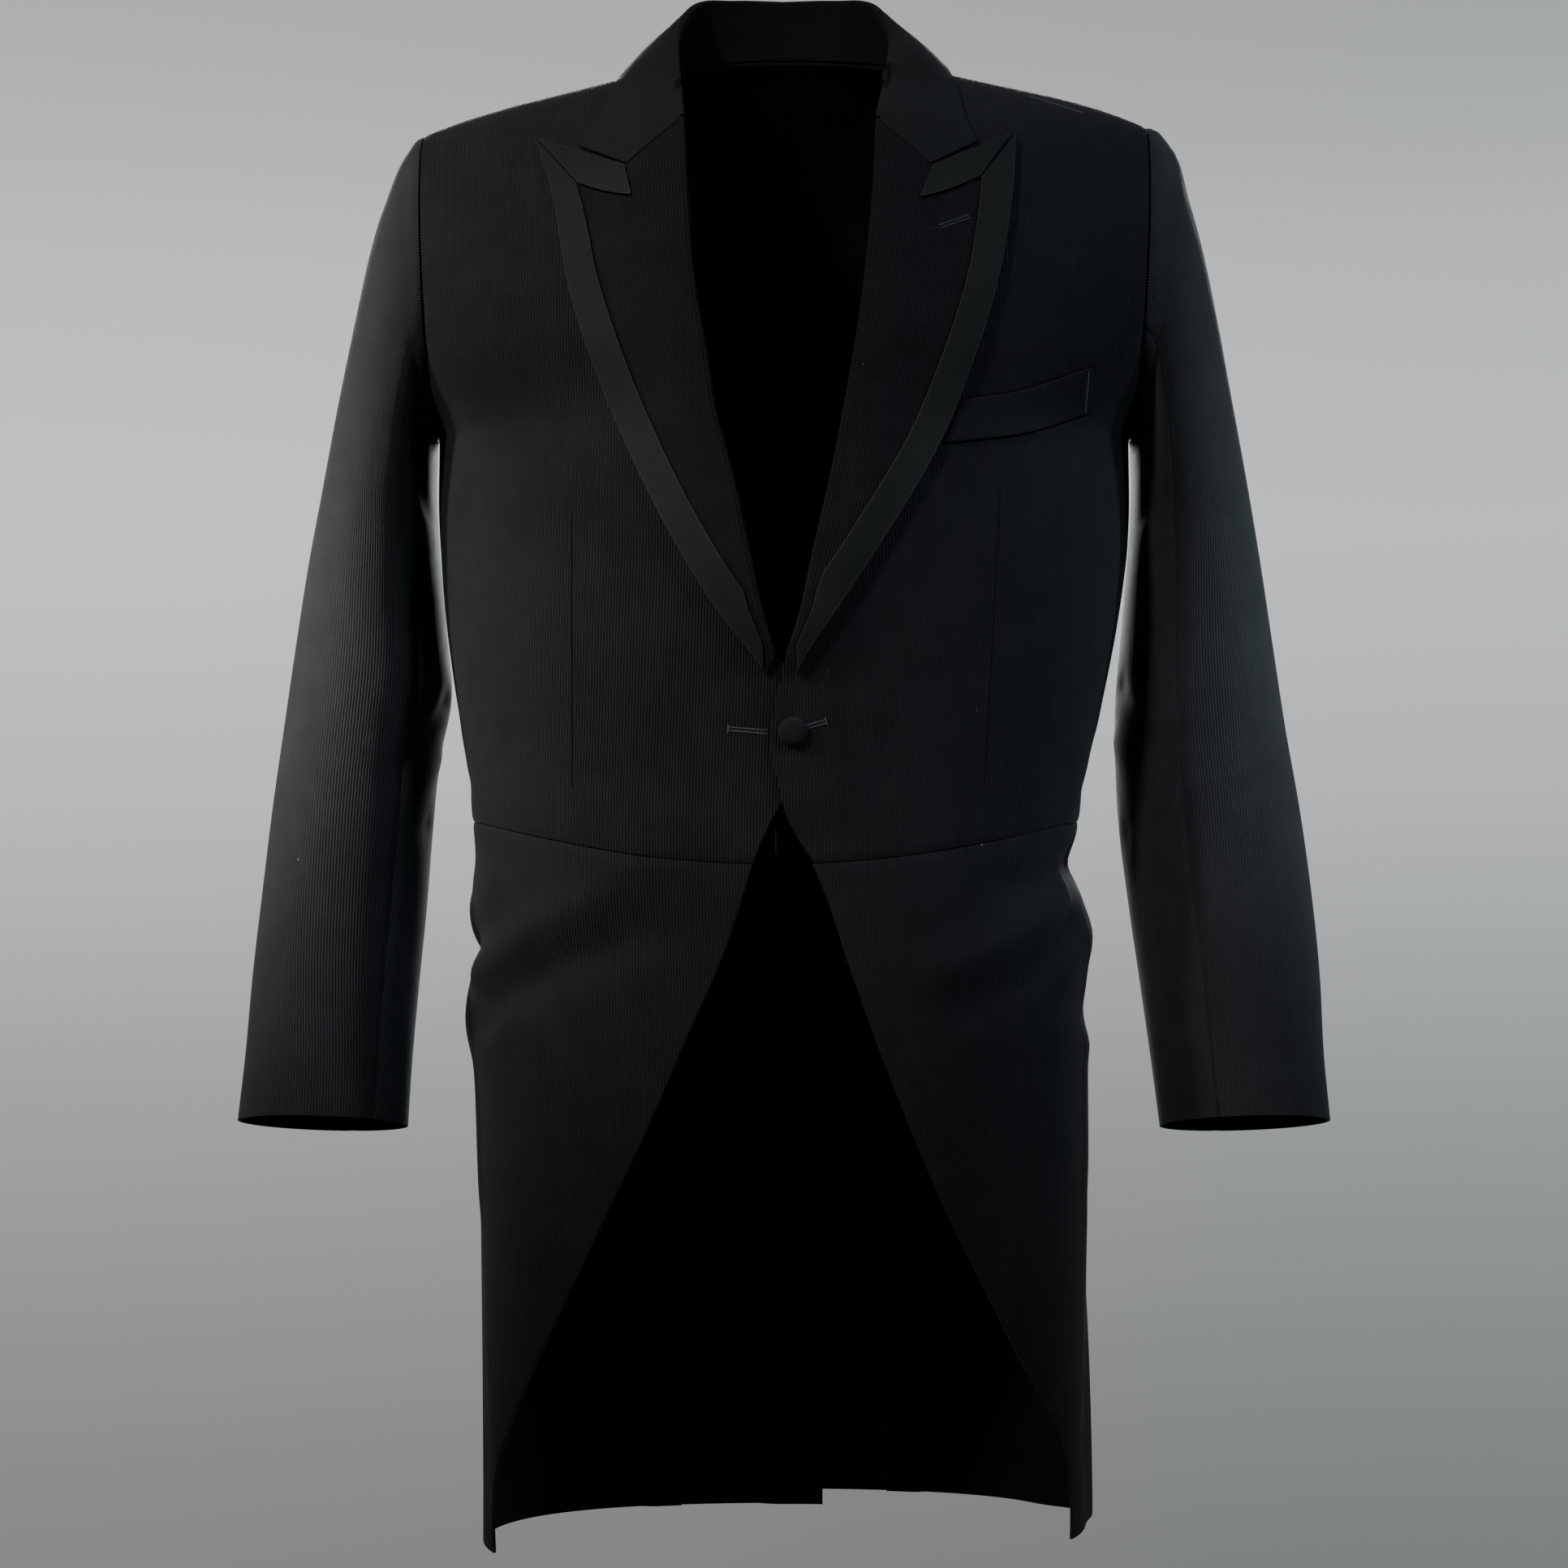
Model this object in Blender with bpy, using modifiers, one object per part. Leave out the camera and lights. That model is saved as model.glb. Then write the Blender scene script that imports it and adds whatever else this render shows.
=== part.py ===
"""A man's black morning coat, worn and hollow, at its real size in metres.

+Z is up and the coat faces -Y, so +X is the wearer's left. The origin lies between the two points where
the shoulder seams meet the collar, which is where the wearer carries the coat.

Every panel is cut from one chart of the body. A place on the chart has a level, which is -1 at the hem,
0 at the waist seam, 1 under the arm and 2 at the shoulder seam, and a share across, which is 0 at the
centre line and 1 at the side seam or the armhole.
"""

import math

import bpy
import numpy as np

# Driving sizes
CLOTH = 0.0020
RIBBON = 0.0010
WELT_CLOTH = 0.0015
SEAM_GAP = 0.0003
LEVEL_GAP = 0.0008
ACROSS_GAP = 0.0010
ARMPIT_Z = -0.245
HEM_Z = {"right": -0.966, "left": -0.956}
WAIST_SIDE_Z = -0.4925
WAIST_FRONT_DIP = 0.0245
WAIST_BACK_RISE = 0.0055
LAP_LIFT = 0.0027
PLEAT_STEP = 0.0034
PLEAT_TUCK = 0.050
VENT_UNDERLAP = -0.080
VENT_TOP = -0.060
PLEAT_RUN = 0.070
BACK_NECK_LEVEL = 1.905
SIDES = {"right": -1.0, "left": 1.0}
QUARTER = math.pi / 2

# Armhole, a leaning oval
ARMHOLE_TOP = {"right": (0.2335, -0.046), "left": (0.2345, -0.040)}
ARMHOLE_FOOT = (0.2245, ARMPIT_Z)
ARMHOLE_REACH = {"front": -0.075, "back": 0.078}
SHOULDER_PAD = {"right": 0.0040, "left": 0.0052}
CHEST_BLEND = 60

# Lapel and collar
LEG = 0.006
LEG_GAP = 0.0009
ROLL_RADIUS = 0.0027
LAPEL_EDGE_HEIGHT = 0.0028
LAPEL_ROLL_HEIGHT = ROLL_RADIUS * 2 - CLOTH
LAPEL_FOOT_Z = -0.388
LAPEL_FOOT_EDGE_Z = -0.4005
LAPEL_BELLY = 0.0018
GORGE = {"right": (0.0623, -0.0485), "left": (0.0575, -0.0505)}
PEAK = {"right": (0.1580, -0.0605), "left": (0.1465, -0.0572)}
NOTCH = {"right": (0.0980, -0.0824), "left": (0.0908, -0.0832)}
LEFT_CORNER_IN = 0.0067
COLLAR_LIES = (0.62, 0.95)
COLLAR_EASE = 0.004
STAND_SHARES = np.array((0.0, 0.06, 0.40, 0.75))
MITRE = {"right": (0.1290, -0.0950), "left": (0.1227, -0.0907)}
RIBBON_END = {"right": (0.0944, -0.1037), "left": (0.0838, -0.1058)}
RIBBON_SAG = 0.0016
RIBBON_WIDTH = 0.020
RIBBON_GAP = 0.0010

# Buttons
FRONT_BUTTON = (0.0057, -0.4358)
BUTTON_RADIUS = 0.0090
BUTTON_HEIGHT = 0.0042
BUTTON_GAP = 0.0005
CUFF_BUTTON_RADIUS = 0.0070
CUFF_BUTTON_HEIGHT = 0.0034
CUFF_BUTTON_PITCH = 0.0175
CUFF_BUTTONS = 3

# Breast welt, in the view from the front
WELT_GAP = 0.0006
WELT_TOP = ((0.1105, -0.2310), (0.1441, -0.2250), (0.1935, -0.2074))
WELT_FOOT = ((0.0990, -0.2580), (0.1441, -0.2513), (0.1920, -0.2346))


def table(columns, *rows):
    """A short table: one array for each named column."""
    return dict(zip(columns.split(), np.array(rows, float).T))


# The body from hem to armpit, as level rings
RINGS = table(
    "z half_width mid_y front_y back_y square",
    (-0.970, 0.1985, 0.028, -0.098, 0.136, 0.020),
    (-0.860, 0.1990, 0.022, -0.113, 0.134, 0.020),
    (-0.750, 0.2000, 0.015, -0.126, 0.130, 0.022),
    (-0.670, 0.2005, 0.010, -0.132, 0.125, 0.024),
    (-0.600, 0.2010, 0.006, -0.134, 0.117, 0.025),
    (-0.550, 0.2000, 0.003, -0.1335, 0.106, 0.026),
    (-0.517, 0.1955, 0.000, -0.133, 0.099, 0.028),
    (-0.486, 0.1980, 0.000, -0.133, 0.097, 0.028),
    (-0.445, 0.2040, 0.000, -0.1345, 0.099, 0.026),
    (-0.407, 0.2115, 0.000, -0.137, 0.104, 0.024),
    (-0.360, 0.2190, 0.000, -0.141, 0.112, 0.020),
    (-0.300, 0.2245, 0.000, -0.142, 0.1255, 0.012),
    (-0.245, 0.2245, 0.000, -0.140, 0.130, 0.000),
)
# The figure leans a little at the waist
SWAY = table("z shift", (-0.75, 0.0), (-0.60, -0.003), (-0.50, -0.0055), (-0.42, -0.003), (-0.32, 0.0))
# Above the armpit a row runs from the centre line to a place on the armhole
YOKE_FRONT = table(
    "oval mid_y mid_z turn droop",
    (0, 0.012, 0.024, 35, 1.0),
    (8, -0.006, 0.0212, 37, 1.0),
    (16, -0.026, 0.0115, 39, 1.05),
    (30, -0.060, -0.020, 42, 1.1),
    (60, -0.108, -0.072, 50, 1.2),
    (90, -0.128, -0.122, 62, 1.3),
    (120, -0.1362, -0.175, 70, 1.3),
    (150, -0.1390, -0.218, 80, 1.3),
    (180, -0.140, -0.245, 90, 1.3),
)
YOKE_BACK = table(
    "oval mid_y mid_z turn droop",
    (0, 0.012, 0.024, 35, 1.0),
    (15, 0.058, 0.019, 38, 1.3),
    (30, 0.078, -0.008, 42, 1.6),
    (60, 0.104, -0.058, 50, 1.7),
    (90, 0.121, -0.115, 60, 1.7),
    (120, 0.1305, -0.170, 70, 1.7),
    (150, 0.1318, -0.215, 80, 1.6),
    (180, 0.130, -0.245, 90, 1.5),
)
# Closing edge of each front, up to the foot of its roll line
CLOSING_EDGE = table(
    "z right left",
    (-0.522, 0.0215, 0.0220),
    (-0.512, 0.0175, 0.0155),
    (-0.500, 0.0125, 0.0075),
    (-0.485, 0.0050, 0.0005),
    (-0.469, -0.0040, -0.0030),
    (-0.457, -0.0100, -0.0065),
    (-0.445, -0.0120, -0.0085),
    (-0.421, -0.0120, -0.0060),
    (-0.404, -0.0060, -0.0020),
    (-0.396, 0.0072, 0.0030),
    (-0.388, 0.0110, 0.0072),
)
# Neck edge of each front, from the gorge to the shoulder seam
FRONT_NECK = table(
    "z right left",
    (-0.0485, 0.0683, 0.0635),
    (-0.018, 0.0780, 0.0765),
    (0.004, 0.0830, 0.0830),
)
ROLL_LINE = table(
    "z right left",
    (-0.388, 0.0050, 0.0012),
    (-0.366, 0.0114, 0.0083),
    (-0.3237, 0.0208, 0.0176),
    (-0.276, 0.0312, 0.0286),
    (-0.2334, 0.0422, 0.0368),
    (-0.206, 0.0463, 0.0417),
    (-0.158, 0.0543, 0.0488),
    (-0.104, 0.0587, 0.0542),
    (-0.0485, 0.0623, 0.0575),
)
LAPEL_EDGE = table(
    "z right left",
    (-0.4005, 0.0120, 0.0080),
    (-0.3955, 0.0154, 0.0105),
    (-0.3606, 0.0422, 0.0335),
    (-0.318, 0.0686, 0.0616),
    (-0.2643, 0.0956, 0.0935),
    (-0.213, 0.1170, 0.1153),
    (-0.166, 0.1324, 0.1305),
    (-0.1004, 0.1450, 0.1425),
    (-0.0585, 0.1580, 0.1466),
)
SKIRT_EDGE = table(
    "z right left",
    (-0.970, 0.1880, 0.1860),
    (-0.930, 0.1885, 0.1860),
    (-0.900, 0.1834, 0.1823),
    (-0.871, 0.1727, 0.1717),
    (-0.832, 0.1560, 0.1500),
    (-0.785, 0.1340, 0.1265),
    (-0.7315, 0.1086, 0.1000),
    (-0.678, 0.0832, 0.0772),
    (-0.6197, 0.0579, 0.0544),
    (-0.5748, 0.0380, 0.0384),
    (-0.540, 0.0262, 0.0270),
    (-0.512, 0.0175, 0.0155),
)
# Neck opening of the back, in the view from above
BACK_NECK = table(
    "y x",
    (0.005, 0.0825),
    (0.020, 0.0770),
    (0.035, 0.0660),
    (0.050, 0.0450),
    (0.059, 0.0180),
    (0.062, 0.0),
)
# Side-back seam, and below the waist the fold of the tail over the skirt
SIDE_BACK_SEAM = table(
    "level across",
    (-1.00, 0.270),
    (-0.50, 0.215),
    (0.00, 0.145),
    (0.25, 0.155),
    (0.50, 0.200),
    (0.75, 0.290),
    (1.00, 0.430),
    (1.10, 0.480),
    (1.20, 0.577),
    (1.30, 0.715),
    (1.36, 0.855),
    (1.39, 1.000),
)
SIDE_BODY_TOP = 1.375
SEAM_LEGS = ((1.1, 7), (1.2, 1), (1.3, 1), (1.36, 1), (SIDE_BODY_TOP, 1))
# Folds of the cloth: a ridge has a positive push, a trough a negative one
FOLDS = {
    "right": table(
        "turn_a z_a push_a turn_b z_b push_b width",
        (112, -0.602, -0.0125, 50, -0.545, -0.0010, 0.013),
        (116, -0.660, 0.0065, 34, -0.556, 0.0015, 0.019),
        (100, -0.545, 0.0020, 70, -0.530, 0.0000, 0.014),
        (150, -0.640, 0.0040, 128, -0.900, 0.0020, 0.020),
    ),
    "left": table(
        "turn_a z_a push_a turn_b z_b push_b width",
        (100, -0.512, -0.0060, 52, -0.548, -0.0015, 0.012),
        (104, -0.556, 0.0060, 46, -0.590, 0.0015, 0.016),
        (106, -0.622, -0.0050, 58, -0.606, -0.0005, 0.014),
        (104, -0.950, 0.0120, 94, -0.800, 0.0000, 0.030),
        (150, -0.620, 0.0035, 130, -0.880, 0.0020, 0.022),
    ),
}
# Collar: stations along the neck seam, from the centre back to the gorge
COLLAR = table(
    "share fold_x fold_y fold_z edge_x edge_y edge_z left_rise bulge",
    (0.00, 0.0000, 0.056, 0.0560, 0.0000, 0.0880, 0.0135, 0.000, 0.004),
    (0.19, 0.0320, 0.052, 0.0560, 0.0460, 0.0840, 0.0105, 0.001, 0.006),
    (0.38, 0.0555, 0.036, 0.0495, 0.0800, 0.0590, 0.0055, 0.003, 0.004),
    (0.53, 0.0658, 0.008, 0.0250, 0.1025, 0.0120, 0.0007, 0.005, 0.004),
    (0.66, 0.0668, -0.019, 0.0030, 0.1102, -0.0270, -0.0186, 0.004, 0.005),
    (0.80, 0.0655, -0.045, -0.0195, 0.1165, -0.0400, -0.0425, 0.003, 0.004),
    (0.95, 0.0632, -0.072, -0.0420, 0.1252, -0.0600, -0.0625, 0.003, 0.003),
    (1.00, 0.0623, -0.080, -0.0485, 0.1284, -0.0650, -0.0680, 0.003, 0.003),
)
# Sleeve sections from the armhole to the cuff; outer and inner are the two sides seen from the front
SLEEVE = table(
    "share outer_x outer_z inner_x inner_z slim fuller mid_y depth tilt",
    (0.00, 0.2340, -0.0430, 0.2245, -0.2450, 0.0000, 0.0000, 0.0015, 0.0765, 0),
    (0.006, 0.2362, -0.0440, 0.2256, -0.2462, 0.0000, 0.0020, 0.0016, 0.0767, 0),
    (0.03, 0.2440, -0.0545, 0.2270, -0.2500, 0.0000, 0.0050, 0.0030, 0.0780, 0),
    (0.09, 0.2582, -0.0880, 0.2277, -0.2580, 0.0000, 0.0035, 0.0060, 0.0795, 0),
    (0.14, 0.2668, -0.1150, 0.2280, -0.2670, 0.0000, 0.0035, 0.0090, 0.0805, 0),
    (0.22, 0.2796, -0.1680, 0.2280, -0.2840, 0.0000, 0.0030, 0.0130, 0.0800, 0),
    (0.30, 0.2911, -0.2210, 0.2270, -0.3060, 0.0000, 0.0020, 0.0160, 0.0780, 1),
    (0.38, 0.3014, -0.2740, 0.2245, -0.3360, 0.0000, 0.0018, 0.0175, 0.0750, 2),
    (0.46, 0.3115, -0.3270, 0.2212, -0.3720, 0.0000, 0.0008, 0.0180, 0.0715, 3),
    (0.54, 0.3196, -0.3800, 0.2175, -0.4110, 0.0005, 0.0005, 0.0160, 0.0680, 4),
    (0.62, 0.3266, -0.4330, 0.2168, -0.4520, 0.0085, 0.0010, 0.0110, 0.0650, 5),
    (0.70, 0.3330, -0.4860, 0.2185, -0.4980, 0.0105, 0.0028, 0.0030, 0.0620, 7),
    (0.78, 0.3382, -0.5390, 0.2240, -0.5480, 0.0080, 0.0038, -0.0060, 0.0580, 9),
    (0.86, 0.3430, -0.5910, 0.2305, -0.5990, 0.0056, 0.0030, -0.0155, 0.0520, 11),
    (0.94, 0.3468, -0.6450, 0.2368, -0.6500, 0.0028, 0.0008, -0.0245, 0.0440, 12),
    (1.00, 0.3508, -0.6850, 0.2412, -0.6880, 0.0002, 0.0000, -0.0300, 0.0385, 13),
)
SLIMMED = {"right": 1, "left": 0}
FOREARM_SEAM = {"right": 132, "left": 112}
HIND_SEAM = -106
SLEEVE_GAP = 0.50
ARMHOLE_GAP = 0.0008

# Colours and finishes
BLACK_WOOL = ((0.030, 0.031, 0.034, 1.0), 0.85)
COLLAR_WOOL = ((0.026, 0.027, 0.029, 1.0), 0.88)
RIBBON_GREY = ((0.055, 0.056, 0.058, 1.0), 0.60)
BUTTON_CLOTH = ((0.022, 0.023, 0.025, 1.0), 0.70)


def follow(rows, key, name, at):
    """One column read at any place along another: cubic pieces through the rows, level past the ends."""
    knots = rows[key]
    values = rows[name]
    slopes = np.gradient(values, knots)
    at = np.clip(at, knots[0], knots[-1])
    left = np.clip(np.searchsorted(knots, at, side="right") - 1, 0, len(knots) - 2)
    step = knots[left + 1] - knots[left]
    part = (at - knots[left]) / step
    rest = 1 - part
    start = values[left] * (1 + 2 * part) * rest**2 + slopes[left] * step * part * rest**2
    end = values[left + 1] * part**2 * (3 - 2 * part) - slopes[left + 1] * step * part**2 * rest
    return start + end


def smooth(value, low, high):
    """0 below low, 1 above high, and an even S between them."""
    part = np.clip((value - low) / (high - low), 0, 1)
    return part * part * (3 - 2 * part)


def spread(count, rim=0.012):
    """Even shares from 0 to 1 with one narrow step at each end, which keeps a wall square at its edges."""
    return np.concatenate(([0.0], np.linspace(rim, 1 - rim, count - 2), [1.0]))


def run(start, *legs):
    """Places at even steps: from the start, each leg gives its end and the number of steps to it."""
    places = [start]
    for end, steps in legs:
        places.extend(np.linspace(places[-1], end, steps + 1)[1:])
    return np.array(places)


def waist_height(turn):
    """Height of the waist seam: level at the side, dipping to the front, rising a little to the back."""
    front = -WAIST_FRONT_DIP * np.cos(turn) ** 3
    back = WAIST_BACK_RISE * np.cos(turn) ** 2
    return WAIST_SIDE_Z + np.where(turn < QUARTER, front, back)


def fold_push(turn, z, side):
    """Sum of the folds: a bell across each fold's line, running evenly from one push to the other."""
    rows = FOLDS[side]
    push = np.zeros(np.broadcast(turn, z).shape)
    girth = 0.17
    for turn_a, z_a, push_a, turn_b, z_b, push_b, width in zip(*rows.values()):
        start = np.array((math.radians(turn_a) * girth, z_a))
        line = np.array((math.radians(turn_b) * girth, z_b)) - start
        away = np.stack(np.broadcast_arrays(turn * girth - start[0], z - start[1]), axis=-1)
        part = np.clip(away @ line / (line @ line), 0, 1)
        gap = np.linalg.norm(away - part[..., None] * line, axis=-1)
        push = push + (push_a + (push_b - push_a) * part) * np.exp(-((gap / width) ** 2))
    return push


def ring(z, turn, side):
    """Body below the armpit: a squarish oval whose depth differs in front and behind, swayed and folded.

    x is the half width times (sin t + s sin 3t), y goes with (cos t - s cos 3t), both over (1 - s).
    """
    half, mid, front, back, square = (
        follow(RINGS, "z", name, z) for name in ("half_width", "mid_y", "front_y", "back_y", "square")
    )
    depth = np.where(turn < QUARTER, mid - front, back - mid)
    x = half * (np.sin(turn) + square * np.sin(3 * turn)) / (1 - square)
    y = mid - depth * (np.cos(turn) - square * np.cos(3 * turn)) / (1 - square)
    push = fold_push(turn, z, side)
    if side == "left":
        near_middle = 1 - smooth(turn, 0.10, 0.32)
        push = push + LAP_LIFT * near_middle * smooth(z, -0.505, -0.475) * (1 - smooth(z, -0.385, -0.34))
    x = x + push * np.sin(turn)
    y = y - push * np.cos(turn)
    return np.stack((SIDES[side] * x + follow(SWAY, "z", "shift", z), y, z + 0 * x), axis=-1)


def armhole(oval, half, side):
    """Place on the armhole: the oval angle in degrees is 0 at the shoulder point and 180 under the arm."""
    angle = np.radians(oval)
    top_x, top_z = ARMHOLE_TOP[side]
    foot_x, foot_z = ARMHOLE_FOOT
    x = (top_x + foot_x) / 2 + (top_x - foot_x) / 2 * np.cos(angle)
    z = (top_z + foot_z) / 2 + (top_z - foot_z) / 2 * np.cos(angle)
    return x, ARMHOLE_REACH[half] * np.sin(angle), z


def yoke(level, across, half, side):
    """Body above the armpit: each row is an arc from the centre line to a place on the armhole.

    Just above the armpit the rows keep the oval of the chest, and over CHEST_BLEND degrees of the
    armhole they pass into the arcs, sooner at the armhole's edge.
    """
    oval = 180 * (2 - level)
    rows = YOKE_FRONT if half == "front" else YOKE_BACK
    mid_y, mid_z, turn, droop = (
        follow(rows, "oval", name, oval) for name in ("mid_y", "mid_z", "turn", "droop")
    )
    end_x, end_y, end_z = armhole(oval, half, side)
    turn = np.radians(turn)
    share = np.sin(across * turn) / np.sin(turn)
    x = end_x * share
    y = mid_y + (end_y - mid_y) * (1 - np.cos(across * turn)) / (1 - np.cos(turn))
    chest_y = mid_y * np.sqrt(np.clip(1 - (x / ARMHOLE_FOOT[0]) ** 2, 0, 1))
    leaves = smooth(180 - oval, 0, CHEST_BLEND)
    y = chest_y + (y - chest_y) * (leaves + (1 - leaves) * np.abs(across) ** 8)
    z = mid_z + (end_z - mid_z) * np.abs(share) ** droop
    pad = SHOULDER_PAD[side] * np.sin(math.pi * np.clip(share, 0, 1) ** 3)
    z = z + pad * np.clip(1 - oval / 70, 0, 1) ** 2
    return np.stack((SIDES[side] * x, y, z), axis=-1)


def body(level, across, half, side):
    """Outer face of the body at a level and a share across."""
    level, across = np.broadcast_arrays(np.asarray(level, float), np.asarray(across, float))
    turn = QUARTER * across if half == "front" else math.pi - QUARTER * across
    waist = waist_height(turn)
    reach = np.where(level < 0, waist - HEM_Z[side], ARMPIT_Z - waist)
    low = ring(waist + np.minimum(level, 1) * reach, turn, side)
    high = yoke(np.maximum(level, 1), across, half, side)
    return np.where((level > 1)[..., None], high, low)


def outward(level, across, half, side):
    """Unit normal of the body's outer face, from two short steps on the chart."""
    step = 1e-3
    up = body(level + step, across, half, side) - body(level - step, across, half, side)
    along = body(level, across + step, half, side) - body(level, across - step, half, side)
    normal = np.cross(along, up) * SIDES[side] * (1 if half == "front" else -1)
    return normal / np.linalg.norm(normal, axis=-1, keepdims=True)


def first_crossing(gap, trial):
    """For each row, the trial value where the gap turns positive, found between two samples."""
    past = np.maximum(np.argmax(gap > 0, axis=1), 1)
    rows = np.arange(len(gap))
    before = gap[rows, past - 1]
    after = gap[rows, past]
    share = np.clip(before / (before - after), 0, 1)
    return trial[past - 1] + share * (trial[past] - trial[past - 1])


def front_edge(z, side):
    """Inner edge of the front: the closing edge, then outside the roll line, then the neck."""
    closing = follow(CLOSING_EDGE, "z", side, z)
    rolled = follow(ROLL_LINE, "z", side, z) + LEG
    neck = follow(FRONT_NECK, "z", side, z)
    return np.where(z < CLOSING_EDGE["z"][-1], closing, np.where(z < FRONT_NECK["z"][0], rolled, neck))


def front_edge_across(level, side):
    """Share across at which each level meets the front's inner edge."""
    trial = np.linspace(-0.15, 1.0, 600)
    points = body(level[:, None], trial[None, :], "front", side)
    gap = SIDES[side] * points[..., 0] - front_edge(points[..., 2], side)
    return first_crossing(gap, trial)


def back_neck_across(level, side):
    """Share across at which each level meets the neck opening of the back, or 0 below it."""
    trial = np.linspace(0.0, 1.0, 600)
    points = body(level[:, None], trial[None, :], "back", side)
    gap = SIDES[side] * points[..., 0] - follow(BACK_NECK, "y", "x", points[..., 1])
    edge = first_crossing(gap, trial)
    return np.where(points[:, 0, 1] > BACK_NECK["y"][-1], 0.0, edge)


def drop_on_front(x, z, side):
    """Chart place of the front whose view from the front is (x, z), x counted to its own side.

    Newton's method from a rough guess, on the whole array at once.
    """
    level = np.clip(1 + (z - ARMPIT_Z) / 0.26, 0.02, 1.9)
    across = np.clip(x / 0.23, 0.01, 0.97)
    step = 1e-4
    for _ in range(14):
        here = body(level, across, "front", side)
        by_level = (here - body(level - step, across, "front", side)) / step
        by_across = (here - body(level, across - step, "front", side)) / step
        miss_x = x - SIDES[side] * here[..., 0]
        miss_z = z - here[..., 2]
        a, b = SIDES[side] * by_level[..., 0], SIDES[side] * by_across[..., 0]
        c, d = by_level[..., 2], by_across[..., 2]
        spread_out = a * d - b * c
        level = np.clip(level + np.clip((miss_x * d - b * miss_z) / spread_out, -0.2, 0.2), 0.01, 1.998)
        across = np.clip(across + np.clip((a * miss_z - c * miss_x) / spread_out, -0.2, 0.2), -0.1, 0.999)
    return level, across


def on_front(x, z, height, side):
    """Point at a height over the front's outer face, moved straight forwards so that (x, z) is kept."""
    level, across = drop_on_front(x, z, side)
    point = body(level, across, "front", side)
    facing = np.maximum(-outward(level, across, "front", side)[..., 1], 0.5)
    point[..., 1] -= height / facing
    return point


def lapel_height(x, z, side):
    """Height of the lapel's outer face over the chest: highest at the roll, with a soft belly beside it."""
    from_roll = np.maximum(x - follow(ROLL_LINE, "z", side, z), 0)
    rest = (LAPEL_ROLL_HEIGHT - LAPEL_EDGE_HEIGHT) * np.exp(-from_roll / 0.020)
    belly = LAPEL_BELLY * np.exp(-(((from_roll - 0.022) / 0.016) ** 2)) * smooth(z, -0.39, -0.33)
    return LAPEL_EDGE_HEIGHT + rest + belly


def tent(share, top):
    """Straight up from 0 to 1 at the top, and straight down again."""
    return np.where(share < top, share / top, (1 - share) / (1 - top))


def roll_turn(count):
    """Section of a roll: distance from the fold and height of the outer face, round half a circle."""
    angle = np.linspace(0, math.pi, count)
    return ROLL_RADIUS * (1 - np.sin(angle)), -CLOTH + ROLL_RADIUS * (1 - np.cos(angle))


def lapel_grid(side, rows, turn_columns, inner_columns, outer_columns):
    """Lapel: a leg in line with the front, a roll, and a leaf lying over the chest out to its edge.

    Each row is a straight line from the roll line to the outer edge in the front view, and the upper
    rows bend down towards the notch.
    """
    along = spread(rows)
    gorge_x, gorge_z = GORGE[side]
    peak_x, peak_z = PEAK[side]
    notch_x, notch_z = NOTCH[side]
    roll_z = LAPEL_FOOT_Z + (gorge_z - LAPEL_FOOT_Z) * along
    edge_z = LAPEL_FOOT_EDGE_Z + (peak_z - LAPEL_FOOT_EDGE_Z) * along
    roll_x = follow(ROLL_LINE, "z", side, roll_z)
    edge_x = follow(LAPEL_EDGE, "z", side, edge_z)
    width = np.hypot(edge_x - roll_x, edge_z - roll_z)
    turn_away, turn_height = roll_turn(turn_columns)
    leg_away = np.array((LEG - LEG_GAP, LEG - 2 * LEG_GAP))
    turn_end = turn_away[-1]
    notch_share = (notch_x - gorge_x) / (peak_x - gorge_x)
    knee = turn_end + (width - turn_end) * notch_share
    knee = np.where(along > 0.9, width * notch_share, knee)
    inner = run(0, (1, inner_columns))[1:]
    outer = run(0, (0.94, outer_columns), (1, 1))[1:]
    leaf_away = np.concatenate(
        (
            turn_end + (knee[:, None] - turn_end) * inner[None, :],
            knee[:, None] + (width - knee)[:, None] * outer[None, :],
        ),
        axis=1,
    )
    fixed = np.concatenate((leg_away, turn_away))
    away = np.concatenate((np.tile(fixed, (rows, 1)), leaf_away), axis=1)
    share = away / width[:, None]
    x = roll_x[:, None] + (edge_x - roll_x)[:, None] * share
    z = roll_z[:, None] + (edge_z - roll_z)[:, None] * share
    chord_z = gorge_z + (peak_z - gorge_z) * notch_share
    bend = smooth(along, 0.70, 1.0)[:, None] * tent(share, notch_share)
    bend[:, : len(fixed)] = 0
    z = z + (notch_z - chord_z) * bend - SEAM_GAP
    height = lapel_height(x, z, side)
    height[:, : len(leg_away)] = -CLOTH
    height[:, len(leg_away) : len(fixed)] = turn_height[None, :]
    return on_front(x, z, height, side)


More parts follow.
